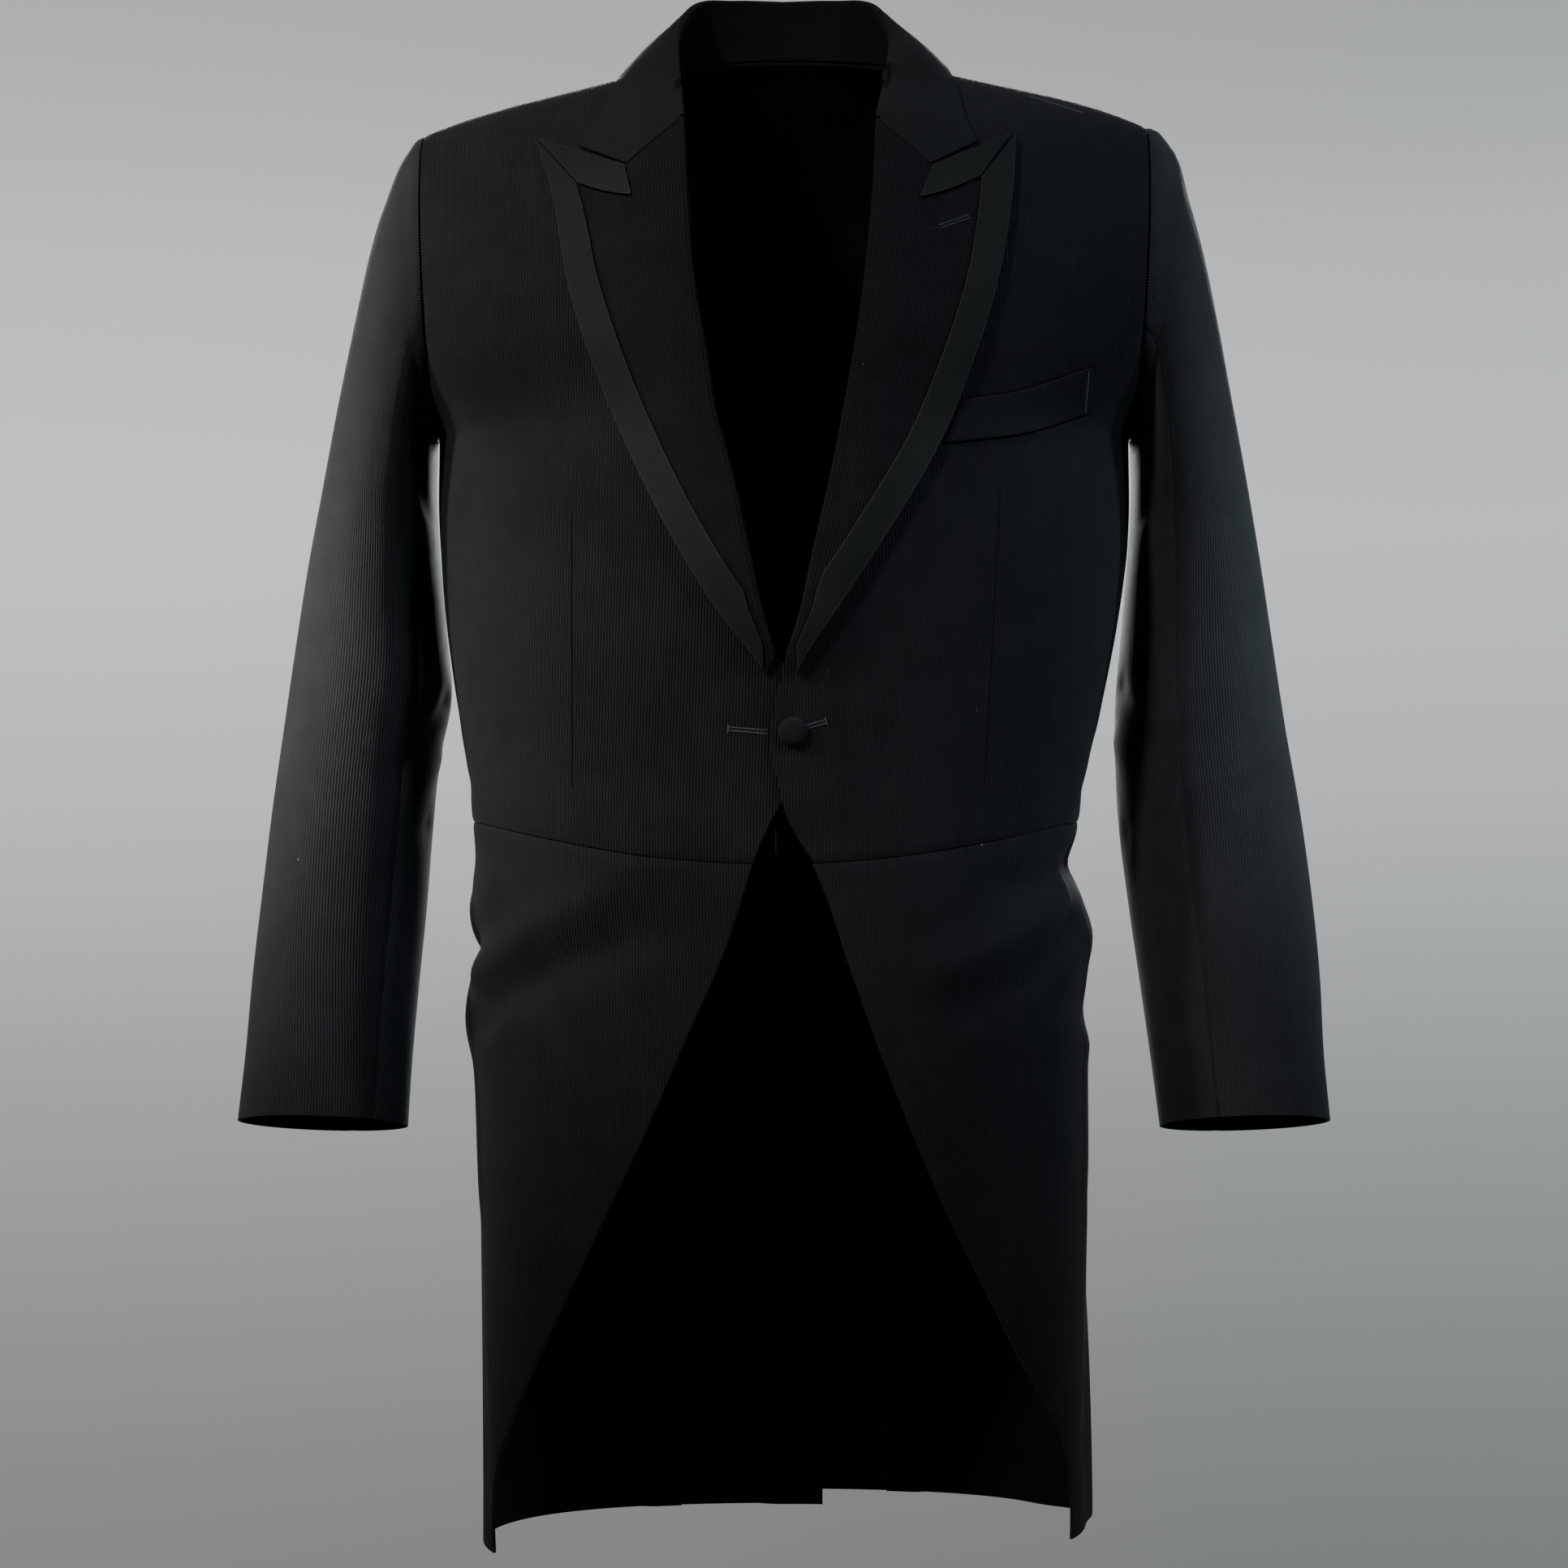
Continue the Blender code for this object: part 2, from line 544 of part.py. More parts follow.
def edge_ribbon_grid(side, rows, columns):
    """Ribbon along the lapel's outer edge, mitred at the peak and as wide as the ribbon all the way."""
    along = np.linspace(0, 1, rows)[:, None]
    mitre_x, mitre_z = MITRE[side]
    outer_z = LAPEL_FOOT_EDGE_Z + 0.002 + (PEAK[side][1] - LAPEL_FOOT_EDGE_Z - 0.004) * along
    outer_x = follow(LAPEL_EDGE, "z", side, outer_z) - 0.0004
    inner_edge_z = LAPEL_FOOT_EDGE_Z + 0.012 + (mitre_z + 0.004 - LAPEL_FOOT_EDGE_Z - 0.012) * along
    step = 1e-3
    slope = (
        follow(LAPEL_EDGE, "z", side, inner_edge_z + step) - follow(LAPEL_EDGE, "z", side, inner_edge_z)
    ) / step
    length = np.hypot(1, slope)
    room = follow(LAPEL_EDGE, "z", side, inner_edge_z) - follow(ROLL_LINE, "z", side, inner_edge_z) - 0.004
    wide = np.minimum(RIBBON_WIDTH, np.maximum(room / length, 0.003))
    inner_x = follow(LAPEL_EDGE, "z", side, inner_edge_z) - wide / length
    inner_z = inner_edge_z + wide * slope / length
    inner_x = inner_x + (mitre_x - inner_x[-1]) * smooth(along, 0.7, 1.0)
    inner_z = inner_z + (mitre_z - inner_z[-1]) * smooth(along, 0.7, 1.0)
    over = np.linspace(0, 1, columns)[None, :]
    x = inner_x + (outer_x - inner_x) * over
    z = inner_z + (outer_z - inner_z) * over
    return on_front(x, z, lapel_height(x, z, side) + RIBBON_GAP + RIBBON, side)


def top_ribbon_grid(side, rows, columns):
    """Ribbon along the lapel's top edge, from the mitre to its short upright end at the notch."""
    end = np.array(RIBBON_END[side])
    mitre = np.array(MITRE[side]) + (-0.0006, 0.0008)
    notch = np.array(NOTCH[side]) + (0.0012, -0.0012)
    peak = np.array(PEAK[side]) + (-0.0035, -0.0008)
    over = np.linspace(0, 1, columns)[None, :, None]
    along = np.linspace(0, 1, rows)[:, None, None]
    foot = end + (mitre - end) * over
    foot = foot - np.array((0, RIBBON_SAG)) * np.sin(math.pi * over)
    head = notch + (peak - notch) * over
    flat = foot + (head - foot) * along
    x, z = flat[..., 0], flat[..., 1]
    return on_front(x, z, lapel_height(x, z, side) + RIBBON_GAP + RIBBON, side)


def welt_grid(rows, columns):
    """Breast welt: a curved band whose upper and lower lines are smooth curves in the front view."""
    along = np.linspace(0, 1, columns)
    knots = np.array((0.0, 0.4, 1.0))
    lines = []
    for line in (WELT_FOOT, WELT_TOP):
        points = np.array(line)
        rows_of_line = {"share": knots, "x": points[:, 0], "z": points[:, 1]}
        lines.append([follow(rows_of_line, "share", name, along) for name in ("x", "z")])
    up = np.linspace(0, 1, rows)[:, None]
    x = lines[0][0] + (lines[1][0] - lines[0][0]) * up
    z = lines[0][1] + (lines[1][1] - lines[0][1]) * up
    return on_front(x, z, np.full(x.shape, WELT_GAP + WELT_CLOTH), "left")


def front_grid(side, columns):
    """Front panel, from the waist seam to the shoulder seam and from its inner edge to side and armhole."""
    level = run(LEVEL_GAP, (0.016, 1), (0.38, 4), (0.53, 7), (1.98, 12), (2 - LEVEL_GAP, 1))
    inner = front_edge_across(level, side)[:, None]
    shares = run(0, (0.012, 1), (0.14, 2), (0.985, columns), (1, 1))
    across = inner + (1 - ACROSS_GAP - inner) * shares[None, :]
    return body(level[:, None], across, "front", side)


def back_levels():
    """Rows of the back: close together at the vent's top, the side body's top and round the neck."""
    neck = BACK_NECK_LEVEL + (2 - LEVEL_GAP - BACK_NECK_LEVEL) * run(0, (1, 6)) ** 2
    lower = run(
        -1,
        (-0.985, 1),
        (-0.15, 6),
        (VENT_TOP - 0.03, 1),
        (VENT_TOP, 1),
        (-0.02, 2),
        (0.08, 2),
        *SEAM_LEGS,
        (SIDE_BODY_TOP + 0.006, 1),
        (BACK_NECK_LEVEL, 4),
    )
    return np.concatenate((lower, neck[1:]))


def back_grid(side):
    """Back panel with its tail, from hem to neck and shoulder, and from the centre to the side-back seam.

    Below the waist the right tail runs on under the left one and lies a step deeper there.
    """
    level = back_levels()
    on_seam = level < SIDE_BODY_TOP + 0.001
    seam = np.where(on_seam, follow(SIDE_BACK_SEAM, "level", "across", level), 1.0) - ACROSS_GAP
    inner = back_neck_across(level, side) + ACROSS_GAP
    shares = np.array((0.0, 0.04, 0.10, 0.20, 0.42, 0.64, 0.85, 0.97, 1.0))
    across = inner[:, None] + (seam - inner)[:, None] * shares[None, :]
    if side == "left":
        return body(level[:, None], across, "back", side)
    tail = np.array((VENT_UNDERLAP, VENT_UNDERLAP / 2, -0.002, 0.012))
    to_seam = np.array((0.0, 0.25, 0.55, 0.88, 1.0))
    step_end = 0.060
    tail_across = np.concatenate(
        (np.tile(tail, (len(level), 1)), step_end + (seam[:, None] - step_end) * to_seam[None, :]), axis=1
    )
    lapped = (1 - smooth(level, VENT_TOP - 0.03, VENT_TOP))[:, None]
    across = across + (tail_across - across) * lapped
    points = body(level[:, None], across, "back", side)
    sunk = (1 - smooth(level, VENT_TOP, -0.02))[:, None] * (1 - smooth(across, 0.012, step_end))
    return points - (PLEAT_STEP * sunk)[..., None] * outward(level[:, None], across, "back", side)


def side_body_grid(side, columns):
    """Side body, from the waist seam to its narrow top, and from the side-back seam to the side seam."""
    level = run(LEVEL_GAP, (0.015, 1), (0.08, 1), *SEAM_LEGS)
    seam = follow(SIDE_BACK_SEAM, "level", "across", level)[:, None] + ACROSS_GAP
    across = seam + (1 - ACROSS_GAP - seam) * spread(columns, 0.03)[None, :]
    return body(level[:, None], across, "back", side)


def skirt_grid(side, rows, columns):
    """Skirt, from its cutaway edge round the side to the pleat, where it steps in under the tail."""
    down = LEVEL_GAP * 1.2 + (1 - LEVEL_GAP * 1.2) * spread(rows)[::-1]
    trial = np.linspace(0.0, math.radians(86), 500)
    height = waist_height(trial)[None, :] + down[:, None] * (HEM_Z[side] - waist_height(trial))[None, :]
    points = ring(height, trial[None, :], side)
    gap = SIDES[side] * points[..., 0] - follow(SKIRT_EDGE, "z", side, points[..., 2])
    edge = first_crossing(gap, trial)[:, None]
    pleat = math.pi - QUARTER * follow(SIDE_BACK_SEAM, "level", "across", -down)[:, None]
    step_start = pleat - PLEAT_RUN
    main = edge + (step_start - edge) * run(0, (0.012, 1), (1, columns))[None, :]
    tucked = (pleat - 0.016, pleat + QUARTER * PLEAT_TUCK / 2, pleat + QUARTER * PLEAT_TUCK)
    turn = np.concatenate((main, *tucked), axis=1)
    waist = waist_height(turn)
    points = ring(waist + down[:, None] * (HEM_Z[side] - waist), turn, side)
    sunk = PLEAT_STEP * smooth(turn - pleat, -PLEAT_RUN, -0.016)
    inward = np.stack((SIDES[side] * np.sin(turn), -np.cos(turn), 0 * turn), axis=-1)
    return points - sunk[..., None] * inward


def neck_line(side, count):
    """The neck seam from the centre back over the side neck to the gorge, at even steps of its length."""
    back_level = BACK_NECK_LEVEL + (2 - LEVEL_GAP - BACK_NECK_LEVEL) * np.linspace(0, 1, 120) ** 2
    back = body(back_level, back_neck_across(back_level, side), "back", side)
    back = back[np.abs(back[:, 0]) > 1e-4]
    front_level = np.linspace(2 - LEVEL_GAP, 1.5, 160)
    front = body(front_level, front_edge_across(front_level, side), "front", side)
    front = front[front[:, 2] > GORGE[side][1]]
    centre = body(BACK_NECK_LEVEL, 0.0, "back", side)[None, :]
    line = np.concatenate((centre, back, front))
    length = np.concatenate(([0], np.cumsum(np.linalg.norm(np.diff(line, axis=0), axis=1))))
    at = np.linspace(0, length[-1], count)
    return np.stack([np.interp(at, length, line[:, axis]) for axis in range(3)], axis=-1)


def collar_standing(side, seam, fold, edge, bulge, turn_columns, over):
    """Stations round the neck: a stand from the seam up to the fold, a roll, and a fall to the edge.

    In front of the shoulder the fall is held off the chest, more evenly the larger COLLAR_EASE is.
    """
    rise = fold - seam
    tall = np.linalg.norm(rise, axis=1, keepdims=True)
    up = rise / tall
    path = np.gradient(fold, axis=0)
    path = path / np.linalg.norm(path, axis=1, keepdims=True)
    away = np.cross(up, path)
    away = away * np.sign(np.sum(away[:, :2] * (edge - fold)[:, :2], axis=1, keepdims=True))
    away = away / np.linalg.norm(away, axis=1, keepdims=True)
    lift = 0.0010
    top = tall - ROLL_RADIUS
    stand_up = lift + (top - lift) * STAND_SHARES[None, :]
    angle = np.linspace(0, math.pi, turn_columns)
    round_away = ROLL_RADIUS * (1 - np.cos(angle))
    round_up = top + ROLL_RADIUS * np.sin(angle)[None, :]
    stand = seam[:, None, :] + up[:, None, :] * stand_up[..., None]
    turn = seam[:, None, :] + up[:, None, :] * round_up[..., None]
    turn = turn + away[:, None, :] * round_away[None, :, None]
    start = turn[:, -1:, :]
    fall = start + (edge[:, None, :] - start) * over[None, :, None]
    out = np.cross(edge - start[:, 0], path)
    out = out * np.sign(np.sum(out * away, axis=1, keepdims=True))
    out = out / np.linalg.norm(out, axis=1, keepdims=True)
    swell = bulge[:, None] * np.sin(math.pi * over[None, :] ** 0.8)
    fall = fall + out[:, None, :] * swell[..., None]
    x = np.abs(fall[..., 0])
    far_x, far_z = ARMHOLE_TOP[side]
    shoulder_z = YOKE_FRONT["mid_z"][0] + (far_z - YOKE_FRONT["mid_z"][0]) * x / far_x
    below = shoulder_z - fall[..., 2]
    chest = on_front(x, fall[..., 2] + np.minimum(below - 0.003, 0), LAPEL_EDGE_HEIGHT + 0 * x, side)[..., 1]
    clear = chest - fall[..., 1]
    held_off = (clear + np.hypot(clear, COLLAR_EASE)) / 2 - clear
    on_chest = smooth(below, 0.0, 0.010) * smooth(-edge[:, None, 1], 0.0, 0.012)
    fall[..., 1] -= held_off * on_chest
    return np.concatenate((stand, turn, fall), axis=1)


def collar_lying(side, share, seam, fold, edge, turn_columns, over):
    """Stations beside the lapel, with its section: a leg, a roll, and a leaf lying on the chest."""
    gorge = np.array(GORGE[side])
    notch = np.array(NOTCH[side])
    flat_fold, flat_seam, flat_edge = (
        np.stack((np.abs(place[:, 0]), place[:, 2]), axis=-1) for place in (fold, seam, edge)
    )
    corner = flat_edge[-1]
    notch_share = (notch[0] - gorge[0]) / (corner[0] - gorge[0])
    leg = flat_seam - flat_fold
    leg_length = np.linalg.norm(leg, axis=1)
    leg_share = (1 - LEG_GAP / leg_length)[:, None] * (1 - STAND_SHARES[None, :])
    turn_away, turn_height = roll_turn(turn_columns)
    leg_share = leg_share + (turn_away[0] / leg_length)[:, None] * STAND_SHARES[None, :]
    leaf = flat_edge - flat_fold
    width = np.linalg.norm(leaf, axis=1)
    turn_share = turn_away[None, :] / width[:, None]
    leaf_share = turn_share[:, -1:] + (1 - turn_share[:, -1:]) * over[None, :]
    leaf_share[-1] = np.where(over <= notch_share, over, leaf_share[-1])
    leaf_share = np.maximum(leaf_share, turn_share[:, -1:] + 0.01)
    on_leaf = np.concatenate((turn_share, leaf_share), axis=1)
    flat = np.concatenate(
        (
            flat_fold[:, None] + leg[:, None] * leg_share[..., None],
            flat_fold[:, None] + leaf[:, None] * on_leaf[..., None],
        ),
        axis=1,
    )
    chord_z = gorge[1] + (corner[1] - gorge[1]) * notch_share
    bend = smooth(share, 0.78, 1.0)[:, None] * tent(leaf_share, notch_share) * (notch[1] - chord_z)
    x, z = flat[..., 0], flat[..., 1] + 2 * SEAM_GAP
    z[:, -len(over) :] += bend
    z[:, : -len(over)] += 5 * SEAM_GAP
    height = lapel_height(x, np.minimum(z, gorge[1]), side)
    height[:, : len(STAND_SHARES)] = -CLOTH
    height[:, len(STAND_SHARES) : len(STAND_SHARES) + turn_columns] = turn_height[None, :]
    return on_front(x, z, height, side)


def collar_half(side, stations, turn_columns, columns):
    """Half of the collar: it stands round the neck, and towards the gorge it lies like the lapel."""
    share = np.linspace(0, 1, stations)
    seam = neck_line(side, stations)
    fold_x, fold_y, fold_z, edge_x, edge_y, edge_z, left_rise, bulge = (
        follow(COLLAR, "share", name, share) for name in list(COLLAR)[1:]
    )
    nearing = smooth(share, 0.6, 1.0)
    fold_x = fold_x + (GORGE[side][0] - fold_x[-1]) * nearing
    fold_z = fold_z + (GORGE[side][1] - fold_z[-1]) * nearing
    if side == "left":
        edge_x = edge_x - LEFT_CORNER_IN * nearing
        edge_z = edge_z + left_rise
    fold = np.stack((SIDES[side] * fold_x, fold_y, fold_z), axis=-1)
    edge = np.stack((SIDES[side] * edge_x, edge_y, edge_z), axis=-1)
    notch_share = (NOTCH[side][0] - GORGE[side][0]) / (np.abs(edge[-1, 0]) - GORGE[side][0])
    over = run(0, (notch_share, columns), (0.94, columns), (1, 1))[1:]
    standing = collar_standing(side, seam, fold, edge, bulge, turn_columns, over)
    lying = collar_lying(side, share, seam, fold, edge, turn_columns, over)
    lies = smooth(share, COLLAR_LIES[0], COLLAR_LIES[1])[:, None, None]
    return np.where(lies > 0, standing + (lying - standing) * lies, standing)


def collar_grid(stations, turn_columns, columns):
    """Both halves of the collar joined at the centre back."""
    right = collar_half("right", stations, turn_columns, columns)
    left = collar_half("left", stations, turn_columns, columns)
    middle = (right[:1] + left[:1]) / 2
    return np.concatenate((right[:0:-1], middle, left[1:]))


def sleeve_point(share, angle, side):
    """Sleeve: leaning oval sections; the angle is 0 on the outer side, a right angle in front."""
    share, angle = np.broadcast_arrays(share, angle)
    outer_x, outer_z, inner_x, inner_z, slim, fuller, mid_y, depth, tilt = (
        follow(SLEEVE, "share", name, share) for name in list(SLEEVE)[1:]
    )
    top_x, top_z = ARMHOLE_TOP[side]
    fit = 1 - smooth(share, 0.0, 0.16)
    inner_x = inner_x + slim * SLIMMED[side]
    outer_x = outer_x + fuller * (1 - SLIMMED[side])
    outer_x = outer_x + (top_x - SLEEVE["outer_x"][0]) * fit
    outer_z = outer_z + (top_z - SLEEVE["outer_z"][0]) * fit
    half_x = (outer_x - inner_x) / 2 * np.cos(angle)
    half_z = (outer_z - inner_z) / 2 * np.cos(angle)
    reach = depth * np.sin(angle)
    tilt = np.radians(tilt)
    x = (outer_x + inner_x) / 2 + half_x
    y = mid_y - reach * np.cos(tilt)
    z = (outer_z + inner_z) / 2 + half_z + reach * np.sin(tilt)
    start_y = np.where(np.sin(angle) > 0, ARMHOLE_REACH["front"], -ARMHOLE_REACH["back"]) * np.sin(angle)
    y = y + (start_y - y) * (1 - smooth(share, 0.0, 0.03))
    return np.stack((SIDES[side] * (x + ARMHOLE_GAP), y, z), axis=-1)


def sleeve_grid(side, first, last, rows, columns):
    """One piece of the sleeve, between two seams given as angles in degrees."""
    share = spread(rows, 0.006)[:, None]
    reach = last - first - 2 * SLEEVE_GAP
    angle = np.radians(first + SLEEVE_GAP + reach * spread(columns, 0.03))[None, :]
    return sleeve_point(share, angle, side)


def material(name, finish):
    """A plain cloth finish in the piece's own colour."""
    colour, roughness = finish
    made = bpy.data.materials.new(name)
    made.use_nodes = True
    shader = made.node_tree.nodes["Principled BSDF"]
    shader.inputs["Base Color"].default_value = colour
    shader.inputs["Roughness"].default_value = roughness
    shader.inputs["Metallic"].default_value = 0.0
    made.diffuse_color = colour
    return made


def panel(name, grid, turned, wall, finish, home):
    """A cloth panel: the grid is its outer face, and Solidify grows the wall inwards from it."""
    if turned:
        grid = grid[:, ::-1]
    rows, columns = grid.shape[:2]
    index = np.arange(rows * columns).reshape(rows, columns)
    corners = (index[:-1, :-1], index[:-1, 1:], index[1:, 1:], index[1:, :-1])
    faces = np.stack([corner.ravel() for corner in corners], axis=1)
    mesh = bpy.data.meshes.new(name)
    mesh.from_pydata(grid.reshape(-1, 3).tolist(), [], faces.tolist())
    mesh.shade_smooth()
    made = bpy.data.objects.new(name, mesh)
    home.objects.link(made)
    made.data.materials.append(material(name, finish))
    solid = made.modifiers.new("wall", "SOLIDIFY")
    solid.thickness = wall
    solid.offset = -1.0
    return made


def button(name, centre, normal, radius, height, steps, home):
    """Covered button: a domed profile turned about the button's own axis."""
    profile = (
        (0.0, 0.0),
        (radius * 0.90, 0.0),
        (radius, height * 0.30),
        (radius * 0.93, height * 0.68),
        (radius * 0.60, height * 0.93),
        (0.0, height),
    )
    angle = 2 * math.pi * np.arange(steps) / steps
    points = [(0.0, 0.0, 0.0)]
    for reach, up in profile[1:-1]:
        points += [(reach * math.cos(a), reach * math.sin(a), up) for a in angle]
    points.append((0.0, 0.0, height))
    rings = len(profile) - 2
    following = np.roll(np.arange(steps), -1)
    faces = [(0, 1 + after, 1 + here) for here, after in enumerate(following)]
    for level in range(rings - 1):
        low = 1 + level * steps
        high = low + steps
        for here, after in enumerate(following):
            faces.append((low + here, low + after, high + after, high + here))
    last = 1 + (rings - 1) * steps
    top = len(points) - 1
    faces += [(last + here, last + after, top) for here, after in enumerate(following)]
    normal = np.asarray(normal, float) / np.linalg.norm(normal)
    beside = np.cross((0.0, 0.0, 1.0), normal)
    beside = beside / np.linalg.norm(beside)
    above = np.cross(normal, beside)
    frame = np.stack((beside, above, normal))
    placed = np.array(points) @ frame + np.asarray(centre)
    mesh = bpy.data.meshes.new(name)
    mesh.from_pydata(placed.tolist(), [], [tuple(int(i) for i in face) for face in faces])
    mesh.shade_smooth()
    made = bpy.data.objects.new(name, mesh)
    home.objects.link(made)
    made.data.materials.append(material(name, BUTTON_CLOTH))
    return made


def waist_button(side, home):
    """Covered button at the top of the pleat, over the meeting of back and side body."""
    level = np.array(0.0)
    across = np.array(SIDE_BACK_SEAM["across"][2] - 0.036)
    out = outward(level, across, "back", side)
    centre = body(level, across, "back", side) + out * BUTTON_GAP * 2
    button(f"waist_button_{side}", centre, out, BUTTON_RADIUS, BUTTON_HEIGHT, 16, home)


def cuff_buttons(side, home):
    """Row of small covered buttons on the top sleeve, beside the hind seam."""
    beside = 10
    step = 1e-3
    for number in range(CUFF_BUTTONS):
        share = np.array(1 - (0.018 + CUFF_BUTTON_PITCH * number) / 0.66)
        angle = np.array(math.radians(HIND_SEAM + beside))
        along = sleeve_point(share + step, angle, side) - sleeve_point(share - step, angle, side)
        round_arm = sleeve_point(share, angle + step, side) - sleeve_point(share, angle - step, side)
        out = np.cross(round_arm, along) * SIDES[side]
        out = out / np.linalg.norm(out)
        centre = sleeve_point(share, angle, side) + out * BUTTON_GAP
        name = f"cuff_button_{side}_{number + 1}"
        button(name, centre, out, CUFF_BUTTON_RADIUS, CUFF_BUTTON_HEIGHT, 10, home)


def main():
    for old in list(bpy.data.objects):
        bpy.data.objects.remove(old)
    home = bpy.data.collections.new("morning_coat")
    bpy.context.scene.collection.children.link(home)
    for side, sign in SIDES.items():
        mirrored = sign < 0
        forearm = FOREARM_SEAM[side]
        panel(f"front_{side}", front_grid(side, 7), mirrored, CLOTH, BLACK_WOOL, home)
        panel(f"back_{side}", back_grid(side), not mirrored, CLOTH, BLACK_WOOL, home)
        panel(f"side_body_{side}", side_body_grid(side, 8), not mirrored, CLOTH, BLACK_WOOL, home)
        panel(f"skirt_{side}", skirt_grid(side, 15, 12), mirrored, CLOTH, BLACK_WOOL, home)
        top = sleeve_grid(side, HIND_SEAM, forearm, 17, 13)
        under = sleeve_grid(side, forearm, 360 + HIND_SEAM, 17, 9)
        panel(f"top_sleeve_{side}", top, mirrored, CLOTH, BLACK_WOOL, home)
        panel(f"under_sleeve_{side}", under, mirrored, CLOTH, BLACK_WOOL, home)
        panel(f"lapel_{side}", lapel_grid(side, 20, 5, 3, 5), mirrored, CLOTH, BLACK_WOOL, home)
        panel(f"edge_ribbon_{side}", edge_ribbon_grid(side, 20, 4), mirrored, RIBBON, RIBBON_GREY, home)
        panel(f"top_ribbon_{side}", top_ribbon_grid(side, 4, 7), mirrored, RIBBON, RIBBON_GREY, home)
        waist_button(side, home)
        cuff_buttons(side, home)
    panel("collar", collar_grid(15, 5, 3), True, CLOTH, COLLAR_WOOL, home)
    panel("breast_welt", welt_grid(3, 9), False, WELT_CLOTH, BLACK_WOOL, home)
    x, z = (np.array(value) for value in FRONT_BUTTON)
    level, across = drop_on_front(x, z, "left")
    out = outward(level, across, "front", "left")
    centre = body(level, across, "front", "left") + out * BUTTON_GAP
    button("front_button", centre, out, BUTTON_RADIUS, BUTTON_HEIGHT, 20, home)


main()
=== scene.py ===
"""Looks for a black morning coat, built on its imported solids.

Everything is in metres in the solids' frame: +Z is up and the coat faces -Y. Left and right are those of
the worn coat, so its left side is at +X.
Every cloth panel is a thin closed shell cut from one chart of the body. A place on the chart has a level,
which is -1 at the hem, 0 at the waist seam, 1 under the arm and 2 at the shoulder seam, and a share
across, which is 0 at the centre line and 1 at the side seam or the armhole.
"""

import math

import bmesh
import bpy
import numpy as np
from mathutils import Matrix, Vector


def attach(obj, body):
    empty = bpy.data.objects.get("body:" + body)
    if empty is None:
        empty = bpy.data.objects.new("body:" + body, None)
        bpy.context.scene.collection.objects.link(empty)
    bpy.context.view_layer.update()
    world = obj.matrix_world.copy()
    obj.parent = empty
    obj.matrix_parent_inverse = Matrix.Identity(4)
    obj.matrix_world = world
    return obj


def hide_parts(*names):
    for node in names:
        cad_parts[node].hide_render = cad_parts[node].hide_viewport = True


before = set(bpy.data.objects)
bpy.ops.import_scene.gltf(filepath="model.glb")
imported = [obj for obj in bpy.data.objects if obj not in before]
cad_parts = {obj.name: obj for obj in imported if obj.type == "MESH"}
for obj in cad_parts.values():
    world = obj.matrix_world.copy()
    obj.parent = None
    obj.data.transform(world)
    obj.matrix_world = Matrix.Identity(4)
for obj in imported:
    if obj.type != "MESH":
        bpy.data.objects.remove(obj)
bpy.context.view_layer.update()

# Driving sizes: walls, gaps, heights of the seams, laps and pleats
CLOTH = 0.0020
EDGE_ROUNDING = 0.28
EDGE_ANGLE = math.radians(55)
RIBBON = 0.0010
WELT_CLOTH = 0.0015
SEAM_GAP = 0.0003
LEVEL_GAP = 0.0008
SKIRT_GAP = LEVEL_GAP * 1.2
ACROSS_GAP = 0.0010
ARMPIT_Z = -0.245
HEM_Z = {"right": -0.966, "left": -0.956}
WAIST_SIDE_Z = -0.4925
WAIST_FRONT_DIP = 0.0245
WAIST_BACK_RISE = 0.0055
LAP_LIFT = 0.0027
LAP_FADE = {"turn": (0.10, 0.32), "foot": (-0.505, -0.475), "head": (-0.385, -0.34)}
PLEAT_STEP = 0.0034
PLEAT_TUCK = 0.050
VENT_UNDERLAP = -0.080
VENT_TOP = -0.060
PLEAT_RUN = 0.070
PLEAT_EDGE = 0.016
TAIL_STEP_END = 0.060
BACK_NECK_LEVEL = 1.905
SIDES = {"right": -1.0, "left": 1.0}
QUARTER = math.pi / 2
# Short step on a chart, from which a slope is taken
STEP = 1e-3
# Search for a place on the chart: samples of a level, and Newton's rounds, step and longest stride
SAMPLES = 600
ROUNDS = 14
SHORT_STEP = 1e-4
STRIDE = 0.2

# Armhole, a leaning oval
ARMHOLE_TOP = {"right": (0.2335, -0.046), "left": (0.2345, -0.040)}
ARMHOLE_FOOT = (0.2245, ARMPIT_Z)
ARMHOLE_REACH = {"front": -0.075, "back": 0.078}
SHOULDER_PAD = {"right": 0.0040, "left": 0.0052}
PAD_REACH = 70
CHEST_BLEND = 60

# Lapel and collar
LEG = 0.006
LEG_GAP = 0.0009
ROLL_RADIUS = 0.0027
ROLL_COLUMNS = 11
LAPEL_EDGE_HEIGHT = 0.0028
LAPEL_ROLL_HEIGHT = ROLL_RADIUS * 2 - CLOTH
LAPEL_FOOT_Z = -0.388
LAPEL_FOOT_EDGE_Z = -0.4005
LAPEL_BELLY = 0.0018
ROLL_REACH = 0.020
BELLY_PLACE = 0.022
BELLY_WIDTH = 0.016
BELLY_FADE = (-0.39, -0.33)
KNEE_FADE = (0.86, 0.92)
NOTCH_FADE = (0.70, 1.0)
GORGE = {"right": (0.0623, -0.0485), "left": (0.0575, -0.0505)}
PEAK = {"right": (0.1580, -0.0605), "left": (0.1465, -0.0572)}
NOTCH = {"right": (0.0980, -0.0824), "left": (0.0908, -0.0832)}
LEFT_CORNER_IN = 0.0067
COLLAR_LIES = (0.62, 0.95)
COLLAR_EASE = 0.004
STAND_LIFT = 0.0010
SHOULDER_CLEAR = 0.003
SHOULDER_FADE = (0.0, 0.010)
FRONT_FADE = (0.0, 0.012)
